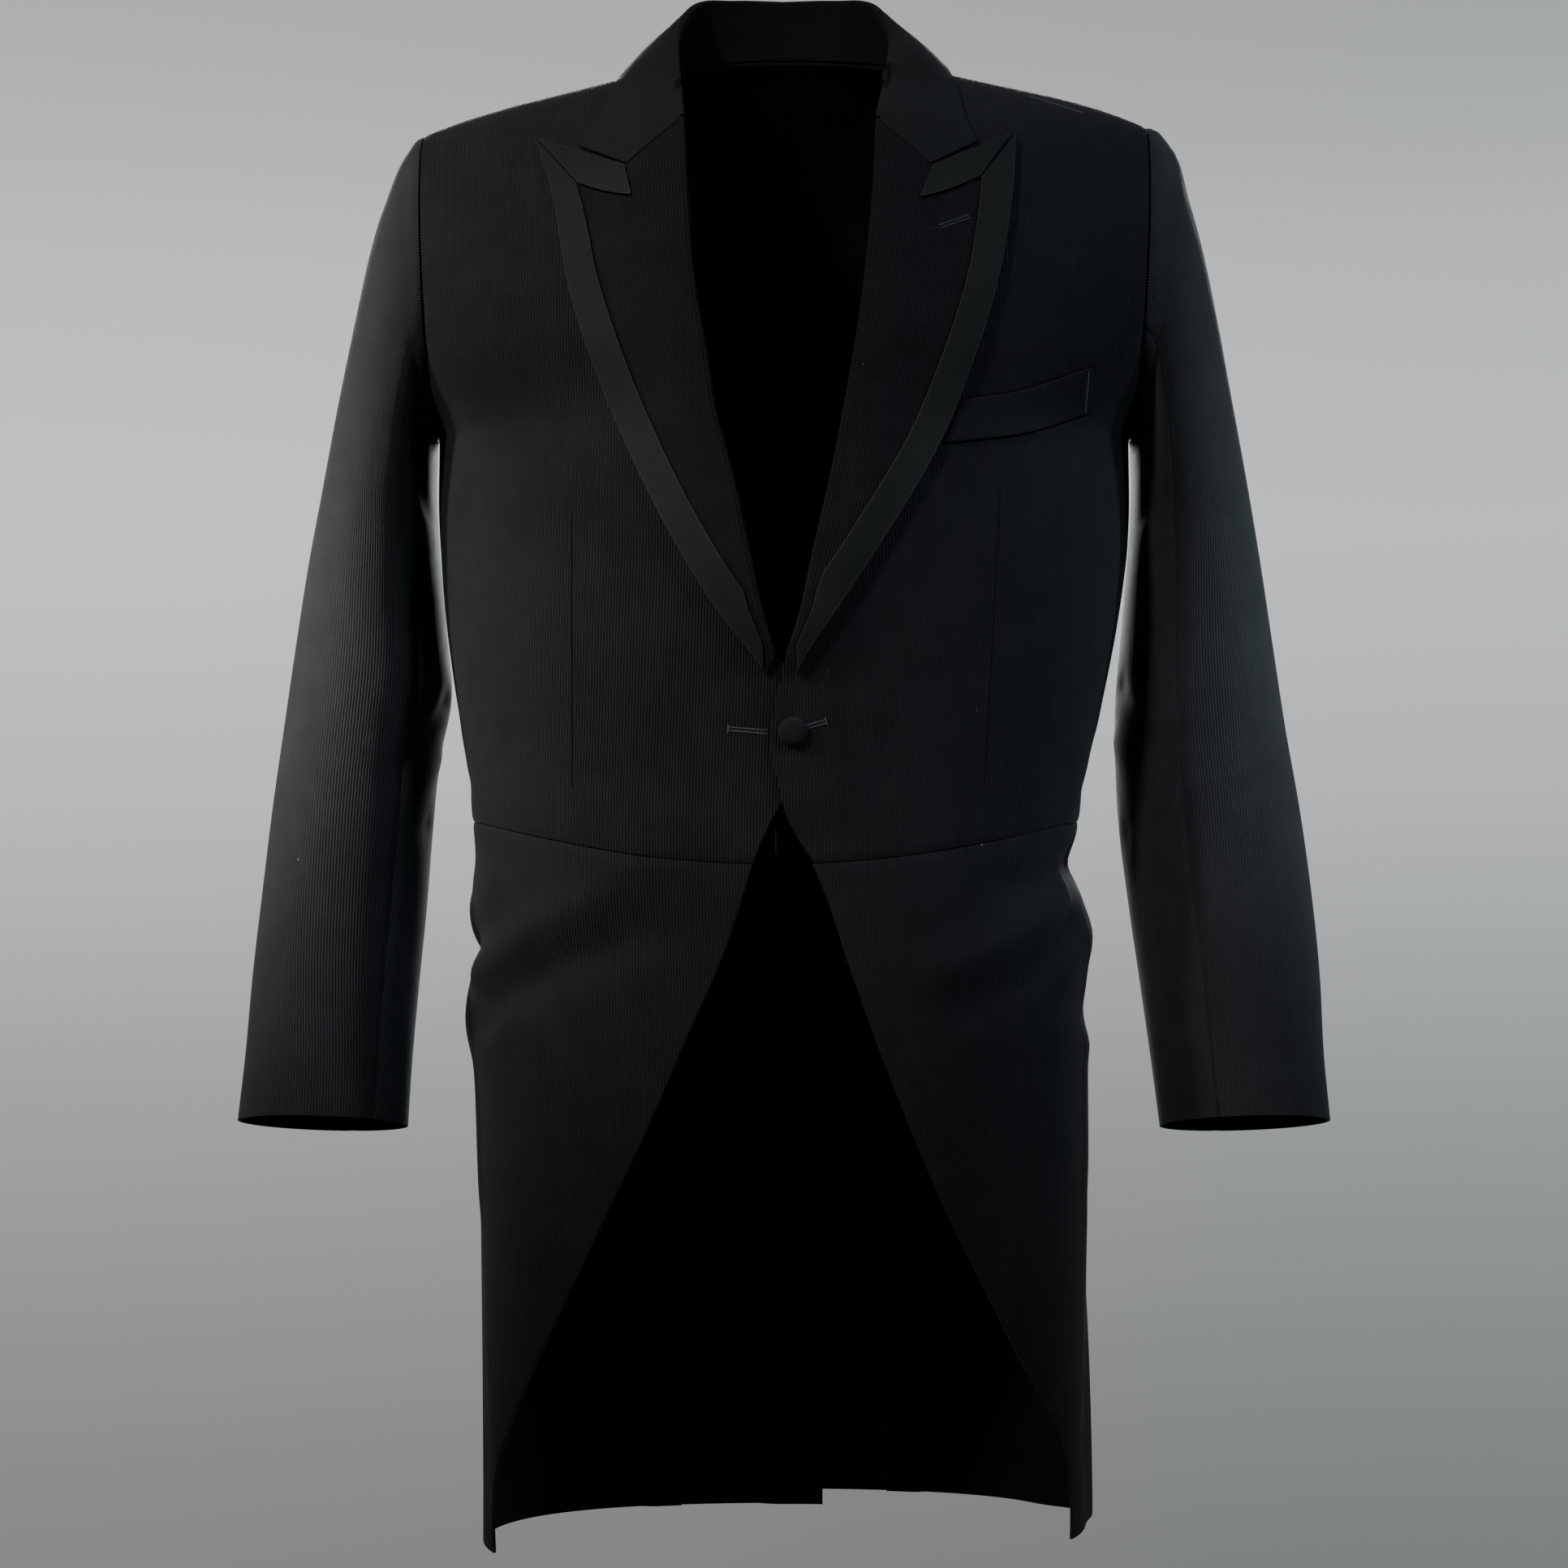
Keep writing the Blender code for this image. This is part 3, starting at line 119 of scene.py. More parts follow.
COLLAR_BEND_FADE = (0.78, 1.0)
STAND_SHARES = np.array((0.0, 0.02, 0.06, 0.16, 0.30, 0.45, 0.60, 0.75, 0.88))
MITRE = {"right": (0.1290, -0.0950), "left": (0.1227, -0.0907)}
RIBBON_END = {"right": (0.0944, -0.1037), "left": (0.0838, -0.1058)}
RIBBON_SAG = 0.0016
RIBBON_WIDTH = 0.020
RIBBON_GAP = 0.0010
RIBBON_INSET = 0.0004
RIBBON_END_IN = 0.002
RIBBON_FOOT_RISE = 0.012
RIBBON_FROM_ROLL = 0.004
RIBBON_NARROWEST = 0.003
MITRE_RISE = 0.004
MITRE_FADE = (0.7, 1.0)
# The top ribbon's corners, from those of the lapel
MITRE_SHIFT = (-0.0006, 0.0008)
NOTCH_SHIFT = (0.0012, -0.0012)
PEAK_SHIFT = (-0.0035, -0.0008)

# Buttons
FRONT_BUTTON = (0.0057, -0.4358)
BUTTON_RADIUS = 0.0090
BUTTON_HEIGHT = 0.0042
BUTTON_GAP = 0.0005
CUFF_BUTTON_RADIUS = 0.0070
CUFF_BUTTON_HEIGHT = 0.0034
CUFF_BUTTON_PITCH = 0.0175
CUFF_BUTTONS = 3
CUFF_BUTTON_FROM_HEM = 0.018
CUFF_BUTTON_TURN = 10
WAIST_BUTTON_IN = 0.036
# Section of a covered button below its dome, as shares of its radius and height
BUTTON_FOOT = np.array(((0, 0), (0.70, 0), (0.90, 0.06), (0.97, 0.16)))
BUTTON_RIM = 0.30
BUTTON_TURN_STEPS = 56
GATHERS = 9
GATHER_DEPTH = 0.006

# Breast welt, in the view from the front
WELT_GAP = 0.0006
WELT_TOP = ((0.1105, -0.2310), (0.1441, -0.2250), (0.1935, -0.2074))
WELT_FOOT = ((0.0990, -0.2580), (0.1441, -0.2513), (0.1920, -0.2346))


def table(columns, *rows):
    """A short table: one array for each named column."""
    return dict(zip(columns.split(), np.array(rows, float).T))


# The body from hem to armpit, as level rings
RINGS = table(
    "z half_width mid_y front_y back_y square",
    (-0.970, 0.1985, 0.028, -0.098, 0.136, 0.020),
    (-0.860, 0.1990, 0.022, -0.113, 0.134, 0.020),
    (-0.750, 0.2000, 0.015, -0.126, 0.130, 0.022),
    (-0.670, 0.2005, 0.010, -0.132, 0.125, 0.024),
    (-0.600, 0.2010, 0.006, -0.134, 0.117, 0.025),
    (-0.550, 0.2000, 0.003, -0.1335, 0.106, 0.026),
    (-0.517, 0.1955, 0.000, -0.133, 0.099, 0.028),
    (-0.486, 0.1980, 0.000, -0.133, 0.097, 0.028),
    (-0.445, 0.2040, 0.000, -0.1345, 0.099, 0.026),
    (-0.407, 0.2115, 0.000, -0.137, 0.104, 0.024),
    (-0.360, 0.2190, 0.000, -0.141, 0.112, 0.020),
    (-0.300, 0.2245, 0.000, -0.142, 0.1255, 0.012),
    (-0.245, 0.2245, 0.000, -0.140, 0.130, 0.000),
)
# Sideways shift of the level rings, most of it at the waist
SWAY = table("z shift", (-0.75, 0.0), (-0.60, -0.003), (-0.50, -0.0055), (-0.42, -0.003), (-0.32, 0.0))
# Above the armpit a row runs from the centre line to a place on the armhole
YOKE_FRONT = table(
    "oval mid_y mid_z turn droop",
    (0, 0.012, 0.024, 35, 1.0),
    (8, -0.006, 0.0212, 37, 1.0),
    (16, -0.026, 0.0115, 39, 1.05),
    (30, -0.060, -0.020, 42, 1.1),
    (60, -0.108, -0.072, 50, 1.2),
    (90, -0.128, -0.122, 62, 1.3),
    (120, -0.1362, -0.175, 70, 1.3),
    (150, -0.1390, -0.218, 80, 1.3),
    (180, -0.140, -0.245, 90, 1.3),
)
YOKE_BACK = table(
    "oval mid_y mid_z turn droop",
    (0, 0.012, 0.024, 35, 1.0),
    (15, 0.058, 0.019, 38, 1.3),
    (30, 0.078, -0.008, 42, 1.6),
    (60, 0.104, -0.058, 50, 1.7),
    (90, 0.121, -0.115, 60, 1.7),
    (120, 0.1305, -0.170, 70, 1.7),
    (150, 0.1318, -0.215, 80, 1.6),
    (180, 0.130, -0.245, 90, 1.5),
)
# Closing edge of each front, up to the foot of its roll line
CLOSING_EDGE = table(
    "z right left",
    (-0.522, 0.0215, 0.0220),
    (-0.512, 0.0175, 0.0155),
    (-0.500, 0.0125, 0.0075),
    (-0.485, 0.0050, 0.0005),
    (-0.469, -0.0040, -0.0030),
    (-0.457, -0.0100, -0.0065),
    (-0.445, -0.0120, -0.0085),
    (-0.421, -0.0120, -0.0060),
    (-0.404, -0.0060, -0.0020),
    (-0.396, -0.0020, -0.0004),
    (-0.3912, 0.0040, 0.0008),
    (-0.3902, 0.0046, 0.0010),
    (-0.3888, 0.0106, 0.0068),
    (-0.388, 0.0110, 0.0072),
)
# Neck edge of each front, from the gorge to the shoulder seam
FRONT_NECK = table(
    "z right left",
    (-0.0485, 0.0683, 0.0635),
    (-0.018, 0.0780, 0.0765),
    (0.004, 0.0830, 0.0830),
)
ROLL_LINE = table(
    "z right left",
    (-0.388, 0.0050, 0.0012),
    (-0.366, 0.0114, 0.0083),
    (-0.3237, 0.0208, 0.0176),
    (-0.276, 0.0312, 0.0286),
    (-0.2334, 0.0422, 0.0368),
    (-0.206, 0.0463, 0.0417),
    (-0.158, 0.0543, 0.0488),
    (-0.104, 0.0587, 0.0542),
    (-0.0485, 0.0623, 0.0575),
)
LAPEL_EDGE = table(
    "z right left",
    (-0.4005, 0.0120, 0.0080),
    (-0.3955, 0.0154, 0.0105),
    (-0.3606, 0.0422, 0.0335),
    (-0.318, 0.0686, 0.0616),
    (-0.2643, 0.0956, 0.0935),
    (-0.213, 0.1170, 0.1153),
    (-0.166, 0.1324, 0.1305),
    (-0.1004, 0.1450, 0.1425),
    (-0.0585, 0.1580, 0.1466),
)
SKIRT_EDGE = table(
    "z right left",
    (-0.970, 0.1880, 0.1860),
    (-0.930, 0.1885, 0.1860),
    (-0.900, 0.1834, 0.1823),
    (-0.871, 0.1727, 0.1717),
    (-0.832, 0.1560, 0.1500),
    (-0.785, 0.1340, 0.1265),
    (-0.7315, 0.1086, 0.1000),
    (-0.678, 0.0832, 0.0772),
    (-0.6197, 0.0579, 0.0544),
    (-0.5748, 0.0380, 0.0384),
    (-0.540, 0.0262, 0.0270),
    (-0.512, 0.0175, 0.0155),
)
# Neck opening of the back, in the view from above
BACK_NECK = table(
    "y x",
    (0.005, 0.0825),
    (0.020, 0.0770),
    (0.035, 0.0660),
    (0.050, 0.0450),
    (0.059, 0.0180),
    (0.062, 0.0),
)
# Side-back seam, and below the waist the fold of the tail over the skirt
SIDE_BACK_SEAM = table(
    "level across",
    (-1.00, 0.270),
    (-0.50, 0.215),
    (0.00, 0.145),
    (0.25, 0.155),
    (0.50, 0.200),
    (0.75, 0.290),
    (1.00, 0.430),
    (1.10, 0.480),
    (1.20, 0.577),
    (1.30, 0.715),
    (1.36, 0.855),
    (1.39, 1.000),
)
SIDE_BODY_TOP = 1.375
# Folds of the cloth: a ridge has a positive push, a trough a negative one
FOLDS = {
    "right": table(
        "turn_a z_a push_a turn_b z_b push_b width",
        (112, -0.602, -0.0125, 50, -0.545, -0.0010, 0.013),
        (116, -0.660, 0.0065, 34, -0.556, 0.0015, 0.019),
        (100, -0.545, 0.0020, 70, -0.530, 0.0000, 0.014),
        (150, -0.640, 0.0040, 128, -0.900, 0.0020, 0.020),
    ),
    "left": table(
        "turn_a z_a push_a turn_b z_b push_b width",
        (100, -0.512, -0.0060, 52, -0.548, -0.0015, 0.012),
        (104, -0.556, 0.0060, 46, -0.590, 0.0015, 0.016),
        (106, -0.622, -0.0050, 58, -0.606, -0.0005, 0.014),
        (104, -0.950, 0.0120, 94, -0.800, 0.0000, 0.030),
        (150, -0.620, 0.0035, 130, -0.880, 0.0020, 0.022),
    ),
}
# Collar: stations along the neck seam, from the centre back to the gorge
COLLAR = table(
    "share fold_x fold_y fold_z edge_x edge_y edge_z left_rise bulge",
    (0.00, 0.0000, 0.056, 0.0560, 0.0000, 0.0880, 0.0135, 0.000, 0.004),
    (0.19, 0.0320, 0.052, 0.0560, 0.0460, 0.0840, 0.0105, 0.001, 0.006),
    (0.38, 0.0555, 0.036, 0.0495, 0.0800, 0.0590, 0.0055, 0.003, 0.004),
    (0.53, 0.0658, 0.008, 0.0250, 0.1025, 0.0120, 0.0007, 0.005, 0.004),
    (0.66, 0.0668, -0.019, 0.0030, 0.1102, -0.0270, -0.0186, 0.004, 0.005),
    (0.80, 0.0655, -0.045, -0.0195, 0.1165, -0.0400, -0.0425, 0.003, 0.004),
    (0.95, 0.0632, -0.072, -0.0420, 0.1252, -0.0600, -0.0625, 0.003, 0.003),
    (1.00, 0.0623, -0.080, -0.0485, 0.1284, -0.0650, -0.0680, 0.003, 0.003),
)
# Sleeve sections from the armhole to the cuff; outer and inner are the two sides seen from the front
SLEEVE = table(
    "share outer_x outer_z inner_x inner_z slim fuller mid_y depth tilt",
    (0.00, 0.2340, -0.0430, 0.2245, -0.2450, 0.0000, 0.0000, 0.0015, 0.0765, 0),
    (0.006, 0.2362, -0.0440, 0.2256, -0.2462, 0.0000, 0.0020, 0.0016, 0.0767, 0),
    (0.03, 0.2440, -0.0545, 0.2270, -0.2500, 0.0000, 0.0050, 0.0030, 0.0780, 0),
    (0.09, 0.2582, -0.0880, 0.2277, -0.2580, 0.0000, 0.0035, 0.0060, 0.0795, 0),
    (0.14, 0.2668, -0.1150, 0.2280, -0.2670, 0.0000, 0.0035, 0.0090, 0.0805, 0),
    (0.22, 0.2796, -0.1680, 0.2280, -0.2840, 0.0000, 0.0030, 0.0130, 0.0800, 0),
    (0.30, 0.2911, -0.2210, 0.2270, -0.3060, 0.0000, 0.0020, 0.0160, 0.0780, 1),
    (0.38, 0.3014, -0.2740, 0.2245, -0.3360, 0.0000, 0.0018, 0.0175, 0.0750, 2),
    (0.46, 0.3115, -0.3270, 0.2212, -0.3720, 0.0000, 0.0008, 0.0180, 0.0715, 3),
    (0.54, 0.3196, -0.3800, 0.2175, -0.4110, 0.0005, 0.0005, 0.0160, 0.0680, 4),
    (0.62, 0.3266, -0.4330, 0.2168, -0.4520, 0.0085, 0.0010, 0.0110, 0.0650, 5),
    (0.70, 0.3330, -0.4860, 0.2185, -0.4980, 0.0105, 0.0028, 0.0030, 0.0620, 7),
    (0.78, 0.3382, -0.5390, 0.2240, -0.5480, 0.0080, 0.0038, -0.0060, 0.0580, 9),
    (0.86, 0.3430, -0.5910, 0.2305, -0.5990, 0.0056, 0.0030, -0.0155, 0.0520, 11),
    (0.94, 0.3468, -0.6450, 0.2368, -0.6500, 0.0028, 0.0008, -0.0245, 0.0440, 12),
    (1.00, 0.3508, -0.6850, 0.2412, -0.6880, 0.0002, 0.0000, -0.0300, 0.0385, 13),
)
SLIMMED = {"right": 1, "left": 0}
FOREARM_SEAM = {"right": 132, "left": 112}
HIND_SEAM = -106
ARMHOLE_GAP = 0.0008

# Smaller creases of the cloth, laid on top of the main folds, and like ones out of sight
SOFT_CREASES = {
    "right": table(
        "turn_a z_a push_a turn_b z_b push_b width",
        (68, -0.588, 0.0050, 24, -0.524, 0.0022, 0.014),
        (70, -0.618, -0.0064, 22, -0.560, -0.0028, 0.014),
        (76, -0.646, 0.0020, 34, -0.592, 0.0003, 0.015),
        (10, -0.400, -0.0016, 30, -0.300, -0.0008, 0.018),
        (24, -0.470, -0.0010, 36, -0.380, -0.0003, 0.016),
        (52, -0.480, 0.0014, 60, -0.340, 0.0006, 0.022),
        (96, -0.532, -0.0018, 70, -0.545, -0.0002, 0.007),
        (88, -0.470, -0.0012, 62, -0.455, -0.0002, 0.009),
        (98, -0.448, 0.0010, 78, -0.430, 0.0002, 0.010),
        (128, -0.470, -0.0022, 160, -0.452, -0.0004, 0.009),
        (122, -0.440, -0.0016, 150, -0.414, -0.0003, 0.011),
        (118, -0.360, -0.0014, 150, -0.300, -0.0002, 0.013),
        (142, -0.530, 0.0014, 158, -0.560, 0.0003, 0.010),
        (122, -0.700, -0.0030, 116, -0.930, -0.0020, 0.018),
        (170, -0.680, -0.0020, 166, -0.920, -0.0016, 0.016),
        (84, -0.760, -0.0014, 78, -0.930, -0.0022, 0.020),
    ),
    "left": table(
        "turn_a z_a push_a turn_b z_b push_b width",
        (66, -0.536, 0.0050, 28, -0.584, 0.0026, 0.013),
        (68, -0.562, -0.0062, 32, -0.608, -0.0026, 0.013),
        (82, -0.514, -0.0060, 40, -0.534, -0.0014, 0.011),
        (64, -0.588, 0.0014, 40, -0.618, 0.0004, 0.011),
        (8, -0.400, -0.0020, 38, -0.275, -0.0010, 0.018),
        (62, -0.500, -0.0020, 66, -0.380, -0.0008, 0.014),
        (48, -0.460, 0.0012, 52, -0.350, 0.0005, 0.020),
        (92, -0.640, 0.0016, 66, -0.628, 0.0003, 0.009),
        (90, -0.474, -0.0012, 66, -0.461, -0.0002, 0.008),
        (100, -0.436, 0.0010, 76, -0.424, 0.0002, 0.011),
        (126, -0.476, -0.0024, 156, -0.462, -0.0005, 0.008),
        (120, -0.446, -0.0014, 146, -0.428, -0.0003, 0.010),
        (116, -0.350, -0.0012, 148, -0.285, -0.0002, 0.014),
        (140, -0.535, 0.0012, 160, -0.552, 0.0002, 0.009),
        (126, -0.690, -0.0026, 120, -0.940, -0.0022, 0.019),
        (168, -0.670, -0.0018, 170, -0.930, -0.0014, 0.015),
        (86, -0.740, -0.0012, 82, -0.900, -0.0018, 0.018),
    ),
}
CREASES = {
    side: {name: np.concatenate((rows[name], SOFT_CREASES[side][name])) for name in rows}
    for side, rows in FOLDS.items()
}
# Creases of the sleeves: from one share and angle to another; a ridge has a positive push
SLEEVE_CREASES = {
    "right": table(
        "share_a angle_a push_a share_b angle_b push_b width",
        (0.05, 52, 0.0020, 0.44, 40, 0.0006, 0.016),
        (0.05, 128, -0.0040, 0.26, 152, -0.0010, 0.014),
        (0.55, 170, -0.0030, 0.66, 120, -0.0004, 0.011),
        (0.62, 176, 0.0020, 0.70, 128, 0.0003, 0.011),
        (0.70, 168, -0.0018, 0.77, 118, -0.0002, 0.010),
        (0.10, 250, -0.0026, 0.30, 230, -0.0006, 0.014),
        (0.56, 262, 0.0024, 0.66, 300, 0.0004, 0.012),
        (0.66, 250, -0.0022, 0.74, 292, -0.0004, 0.010),
        (0.04, 8, 0.0010, 0.20, 14, 0.0002, 0.018),
    ),
    "left": table(
        "share_a angle_a push_a share_b angle_b push_b width",
        (0.05, 48, 0.0020, 0.46, 34, 0.0006, 0.015),
        (0.05, 126, -0.0036, 0.28, 148, -0.0010, 0.015),
        (0.53, 168, -0.0026, 0.64, 122, -0.0004, 0.011),
        (0.60, 174, 0.0018, 0.69, 126, 0.0003, 0.012),
        (0.71, 166, -0.0018, 0.79, 112, -0.0002, 0.010),
        (0.12, 252, -0.0024, 0.32, 228, -0.0006, 0.015),
        (0.54, 258, 0.0022, 0.63, 298, 0.0004, 0.011),
        (0.65, 248, -0.0020, 0.75, 290, -0.0004, 0.011),
        (0.04, 10, 0.0010, 0.22, 16, 0.0002, 0.018),
    ),
}
FOLD_GIRTH = 0.17
SLEEVE_GIRTH = 0.075
SLEEVE_LENGTH = 0.66
SEAM_DIP = 0.0007
SEAM_DIP_WIDTH = 0.0022

# Cloth coordinates are summed on a walk across each level; its centre line is at step WALK_CENTRE
WALK_START = -0.2
WALK_STEPS = 360
WALK_CENTRE = 60

# Sewn marks, each by two ends in the view from the front, and their half widths and those of the painted
# shadow lines along the welt's top and foot
DART_RIGHT = ((-0.1305, -0.3015), (-0.1307, -0.4700))
DART_LEFT = ((0.1335, -0.2880), (0.1240, -0.4700))
SHOULDER_SEWING = ((0.1580, -0.0240), (0.1920, -0.0360))
WELT_SEWING = ((0.1912, -0.2100), (0.1898, -0.2340))
SEWN_HALF_WIDTH = 0.0004
FINE_HALF_WIDTH = 0.0003
WELT_TOP_SHADOW_HALF_WIDTH = 0.0008
WELT_FOOT_SHADOW_HALF_WIDTH = 0.0009
MARK_DEPTH = 0.02
BUTTONHOLE_SPREAD = 0.0022
THREAD_RADIUS = 0.00034
# Worked buttonholes: start, end, side, whether a bar closes the end, and whether it lies on the lapel
BUTTONHOLES = {
    "right_front_buttonhole": ((0.0098, -0.4362), (0.0343, -0.4342), "right", True, False),
    "left_front_buttonhole": ((0.0120, -0.4338), (0.0258, -0.4297), "left", True, False),
    "lapel_buttonhole": ((0.0958, -0.1244), (0.1152, -0.1169), "left", False, True),
}
LAPEL_SLIT = ((0.0883, -0.1274), (0.0958, -0.1244))
# Thickness of the slit's painted shadow and of the bar over the thread's, the bar's half length over half the
# spread, swell at a stitch
SLIT_THICKNESS = 0.7
BAR_THICKNESS = 1.15
BAR_REACH = 2.4
THREAD_SWELL = 0.16
BAR_SWELL = 0.10

# Finishes: pitches of the weaves, colours, and the painted light of the sleeves and painted shade of the
# lapels, as shares of the wool's colour, sheen and shine
RIB_PITCH = 0.0019
YARN_PITCH = 0.00085
WEAVE_PITCH = 0.0007
RIBBON_CORD_PITCH = 0.0009
STRAND_PITCH = 0.0006
STITCH_PITCH = 0.0008
WOOL_SHEEN = 0.028
WOOL_SHINE = 0.080
WOOL_TINT = (0.62, 0.66, 0.72, 1)
RIBBON_TINT = (0.8, 0.82, 0.85, 1)
SLEEVE_PAINTED_LIGHT = 1.9
LAPEL_PAINTED_SHADE = 0.85
WOOL_GROOVE = (0.0008, 0.0009, 0.0011, 1)
WOOL_RIDGE = (0.0085, 0.0090, 0.0102, 1)
# Painted mottled shading: the paler colour the wool takes in broad random patches
WOOL_SHADING_MOTTLE = (0.0150, 0.0156, 0.0168, 1)
COLLAR_DARK = (0.0040, 0.0042, 0.0048, 1)
COLLAR_LIGHT = (0.0108, 0.0113, 0.0122, 1)
INSIDE_DARK = (0.0015, 0.0015, 0.0017, 1)
INSIDE_LIGHT = (0.0035, 0.0036, 0.0040, 1)
RIBBON_GROOVE = (0.0029, 0.0032, 0.0032, 1)
RIBBON_RIDGE = (0.0064, 0.0069, 0.0068, 1)
# Painted mottled shading: the paler colour the ribbon takes in broad random patches
RIBBON_SHADING_MOTTLE = (0.0080, 0.0086, 0.0084, 1)
RIBBON_SELVEDGE = (0.0200, 0.0205, 0.0210, 1)
THREAD_DARK = (0.0120, 0.0120, 0.0130, 1)
THREAD_LIGHT = (0.0420, 0.0420, 0.0450, 1)
# Painted shadow of the buttonholes' slits
SLIT_SHADOW_DARK = (0.0015, 0.0015, 0.0016, 1)
SEWN_PALE = (0.1100, 0.1120, 0.1150, 1)
# Dark seam colour of the darts, and painted shadow along the welt's edges
SEWN_DARK_AND_SHADOW = (0.0020, 0.0020, 0.0022, 1)
LINT_PALE = (0.3000, 0.3000, 0.2900, 1)
# Noises in bumps to the metre, and their details
RIB_DRIFT = (26, 2)
RIB_SLIP = (420, 1)
SLIP_REACH = 0.0005
NAP_FIBRES = (1150, 3, 0.65)
SHADING_MOTTLE_BROAD = (9, 3)
SHADING_MOTTLE_PATCHES = (55, 3, 0.6)
# Lint: cells to the metre, the share of them with a speck, and a speck's core and rim in cells
LINT_CELLS = 42.0
LINT_SHARE = 0.16
SPECK = (0.012, 0.030)
# Relief of the finishes in metres
RIB_RELIEF = 0.00035
RIBBON_RELIEF = 0.00018
THREAD_RELIEF = 0.0001
COLLAR_RELIEF = 0.00012
BUTTON_RELIEF = 0.00016
INSIDE_RELIEF = 0.00010

# Camera and room
CAMERA_PLACE = (0.0, -2.2, -0.468)
LENS = 77.35
FLOOR_Z = -1.45
FLOOR_RADIUS = 1.9
FLOOR_CORNERS = 96
FLOOR_GREY = (0.55, 0.56, 0.57, 1)
# Wall: its greys run between these two upward shares of the direction of view
WALL_LOW = -0.25
WALL_HIGH = 0.25
# Half of the sideways run of its tints, and where the air in front ends
WALL_ASIDE = 0.22
AIR_END = (-0.2, 0.7)
WALL_GREYS = ((0.0, 0.24), (1.0, 0.52), (0.06, 0.29), (0.24, 0.42), (0.50, 0.70), (0.72, 0.86), (0.90, 0.74))
WALL_LEFT = (1.05, 1.03, 1.04, 1)
WALL_RIGHT = (0.84, 0.90, 0.91, 1)
AIR_IN_FRONT = (0.026, 0.029, 0.032, 1)
# Lights: name, place, aim, size, power in watts, spread and tint
LIGHTS = (
    ("key_light", (-1.5, -1.7, 1.5), (-0.15, -0.1, -0.21), 0.4, 1.42, 22, (1.0, 0.99, 0.975)),
    ("fill_light", (1.6, -1.5, 1.4), (0.20, -0.1, -0.20), 0.4, 0.68, 22, (0.66, 0.93, 1.0)),
    ("left_side_light", (-2.4, -0.95, 0.95), (-0.40, 0.0, -0.32), 0.4, 1.85, 14, (1.0, 0.99, 0.975)),
    ("right_side_light", (2.4, -0.8, 0.95), (0.40, 0.0, -0.36), 0.4, 0.75, 14, (0.80, 0.95, 1.0)),
    ("left_back_light", (-0.35, 2.6, 0.5), (0.0, 0.0, -0.36), 1.2, 13.0, 40, (1.0, 1.0, 1.0)),
    ("right_back_light", (0.4, 2.6, 0.4), (0.0, 0.0, -0.36), 1.2, 10.0, 40, (0.94, 0.98, 1.0)),
)


def follow(rows, key, name, at):
    """One column read at any place along another: cubic pieces through the rows, level past the ends."""
    knots = rows[key]
    values = rows[name]
    slopes = np.gradient(values, knots)
    at = np.clip(at, knots[0], knots[-1])
    left = np.clip(np.searchsorted(knots, at, side="right") - 1, 0, len(knots) - 2)
    step = knots[left + 1] - knots[left]
    part = (at - knots[left]) / step
    rest = 1 - part
    start = values[left] * (1 + 2 * part) * rest**2 + slopes[left] * step * part * rest**2
    end = values[left + 1] * part**2 * (3 - 2 * part) - slopes[left + 1] * step * part**2 * rest
    return start + end


def smooth(value, low, high):
    """0 below low, 1 above high, and an even S between them."""
    part = np.clip((value - low) / (high - low), 0, 1)
    return part * part * (3 - 2 * part)


def between(start, end, share):
    """The start at a share of 0, the end at 1, and even steps between."""
    return start + (end - start) * share


def unit(arrows):
    """Each vector over its own length."""
    return arrows / np.linalg.norm(arrows, axis=-1, keepdims=True)


def running(points, axis):
    """Running length of lines of points along one axis, from 0 at their start."""
    steps = np.linalg.norm(np.diff(points, axis=axis), axis=-1)
    nothing = np.zeros_like(np.take(steps, [0], axis=axis))
    return np.concatenate((nothing, np.cumsum(steps, axis=axis)), axis=axis)


def read_rows(rows, place):
    """Each row read at places counted in its columns, with straight lines between them."""
    place = np.clip(place, 0, rows.shape[1] - 1.001)
    low = place.astype(int)
    part = place - low
    return np.take_along_axis(rows, low, 1) * (1 - part) + np.take_along_axis(rows, low + 1, 1) * part


def run(start, *legs):
    """Places at even steps: from the start, each leg gives its end and the number of steps to it."""
    places = [start]
    for end, steps in legs:
        places.extend(np.linspace(places[-1], end, steps + 1)[1:])
    return np.array(places)


def waist_height(turn):
    """Height of the waist seam: level at the side, dipping to the front, rising a little to the back."""
    front = -WAIST_FRONT_DIP * np.cos(turn) ** 3
    back = WAIST_BACK_RISE * np.cos(turn) ** 2
    return WAIST_SIDE_Z + np.where(turn < QUARTER, front, back)


def crease(x, y, start, end, push_a, push_b, width):
    """One crease: a bell across the line from start to end, running evenly from one push to the other."""
    start = np.array(start)
    line = np.array(end) - start
    away = np.stack(np.broadcast_arrays(x - start[0], y - start[1]), axis=-1)
    part = np.clip(away @ line / (line @ line), 0, 1)
    gap = np.linalg.norm(away - part[..., None] * line, axis=-1)
    return between(push_a, push_b, part) * np.exp(-((gap / width) ** 2))


def fold_push(turn, z, side):
    """Sum of the body's folds and creases, with the turn round the body counted at FOLD_GIRTH."""
    push = np.zeros(np.broadcast(turn, z).shape)
    for turn_a, z_a, push_a, turn_b, z_b, push_b, width in zip(*CREASES[side].values()):
        start = (math.radians(turn_a) * FOLD_GIRTH, z_a)
        end = (math.radians(turn_b) * FOLD_GIRTH, z_b)
        push = push + crease(turn * FOLD_GIRTH, z, start, end, push_a, push_b, width)
    return push


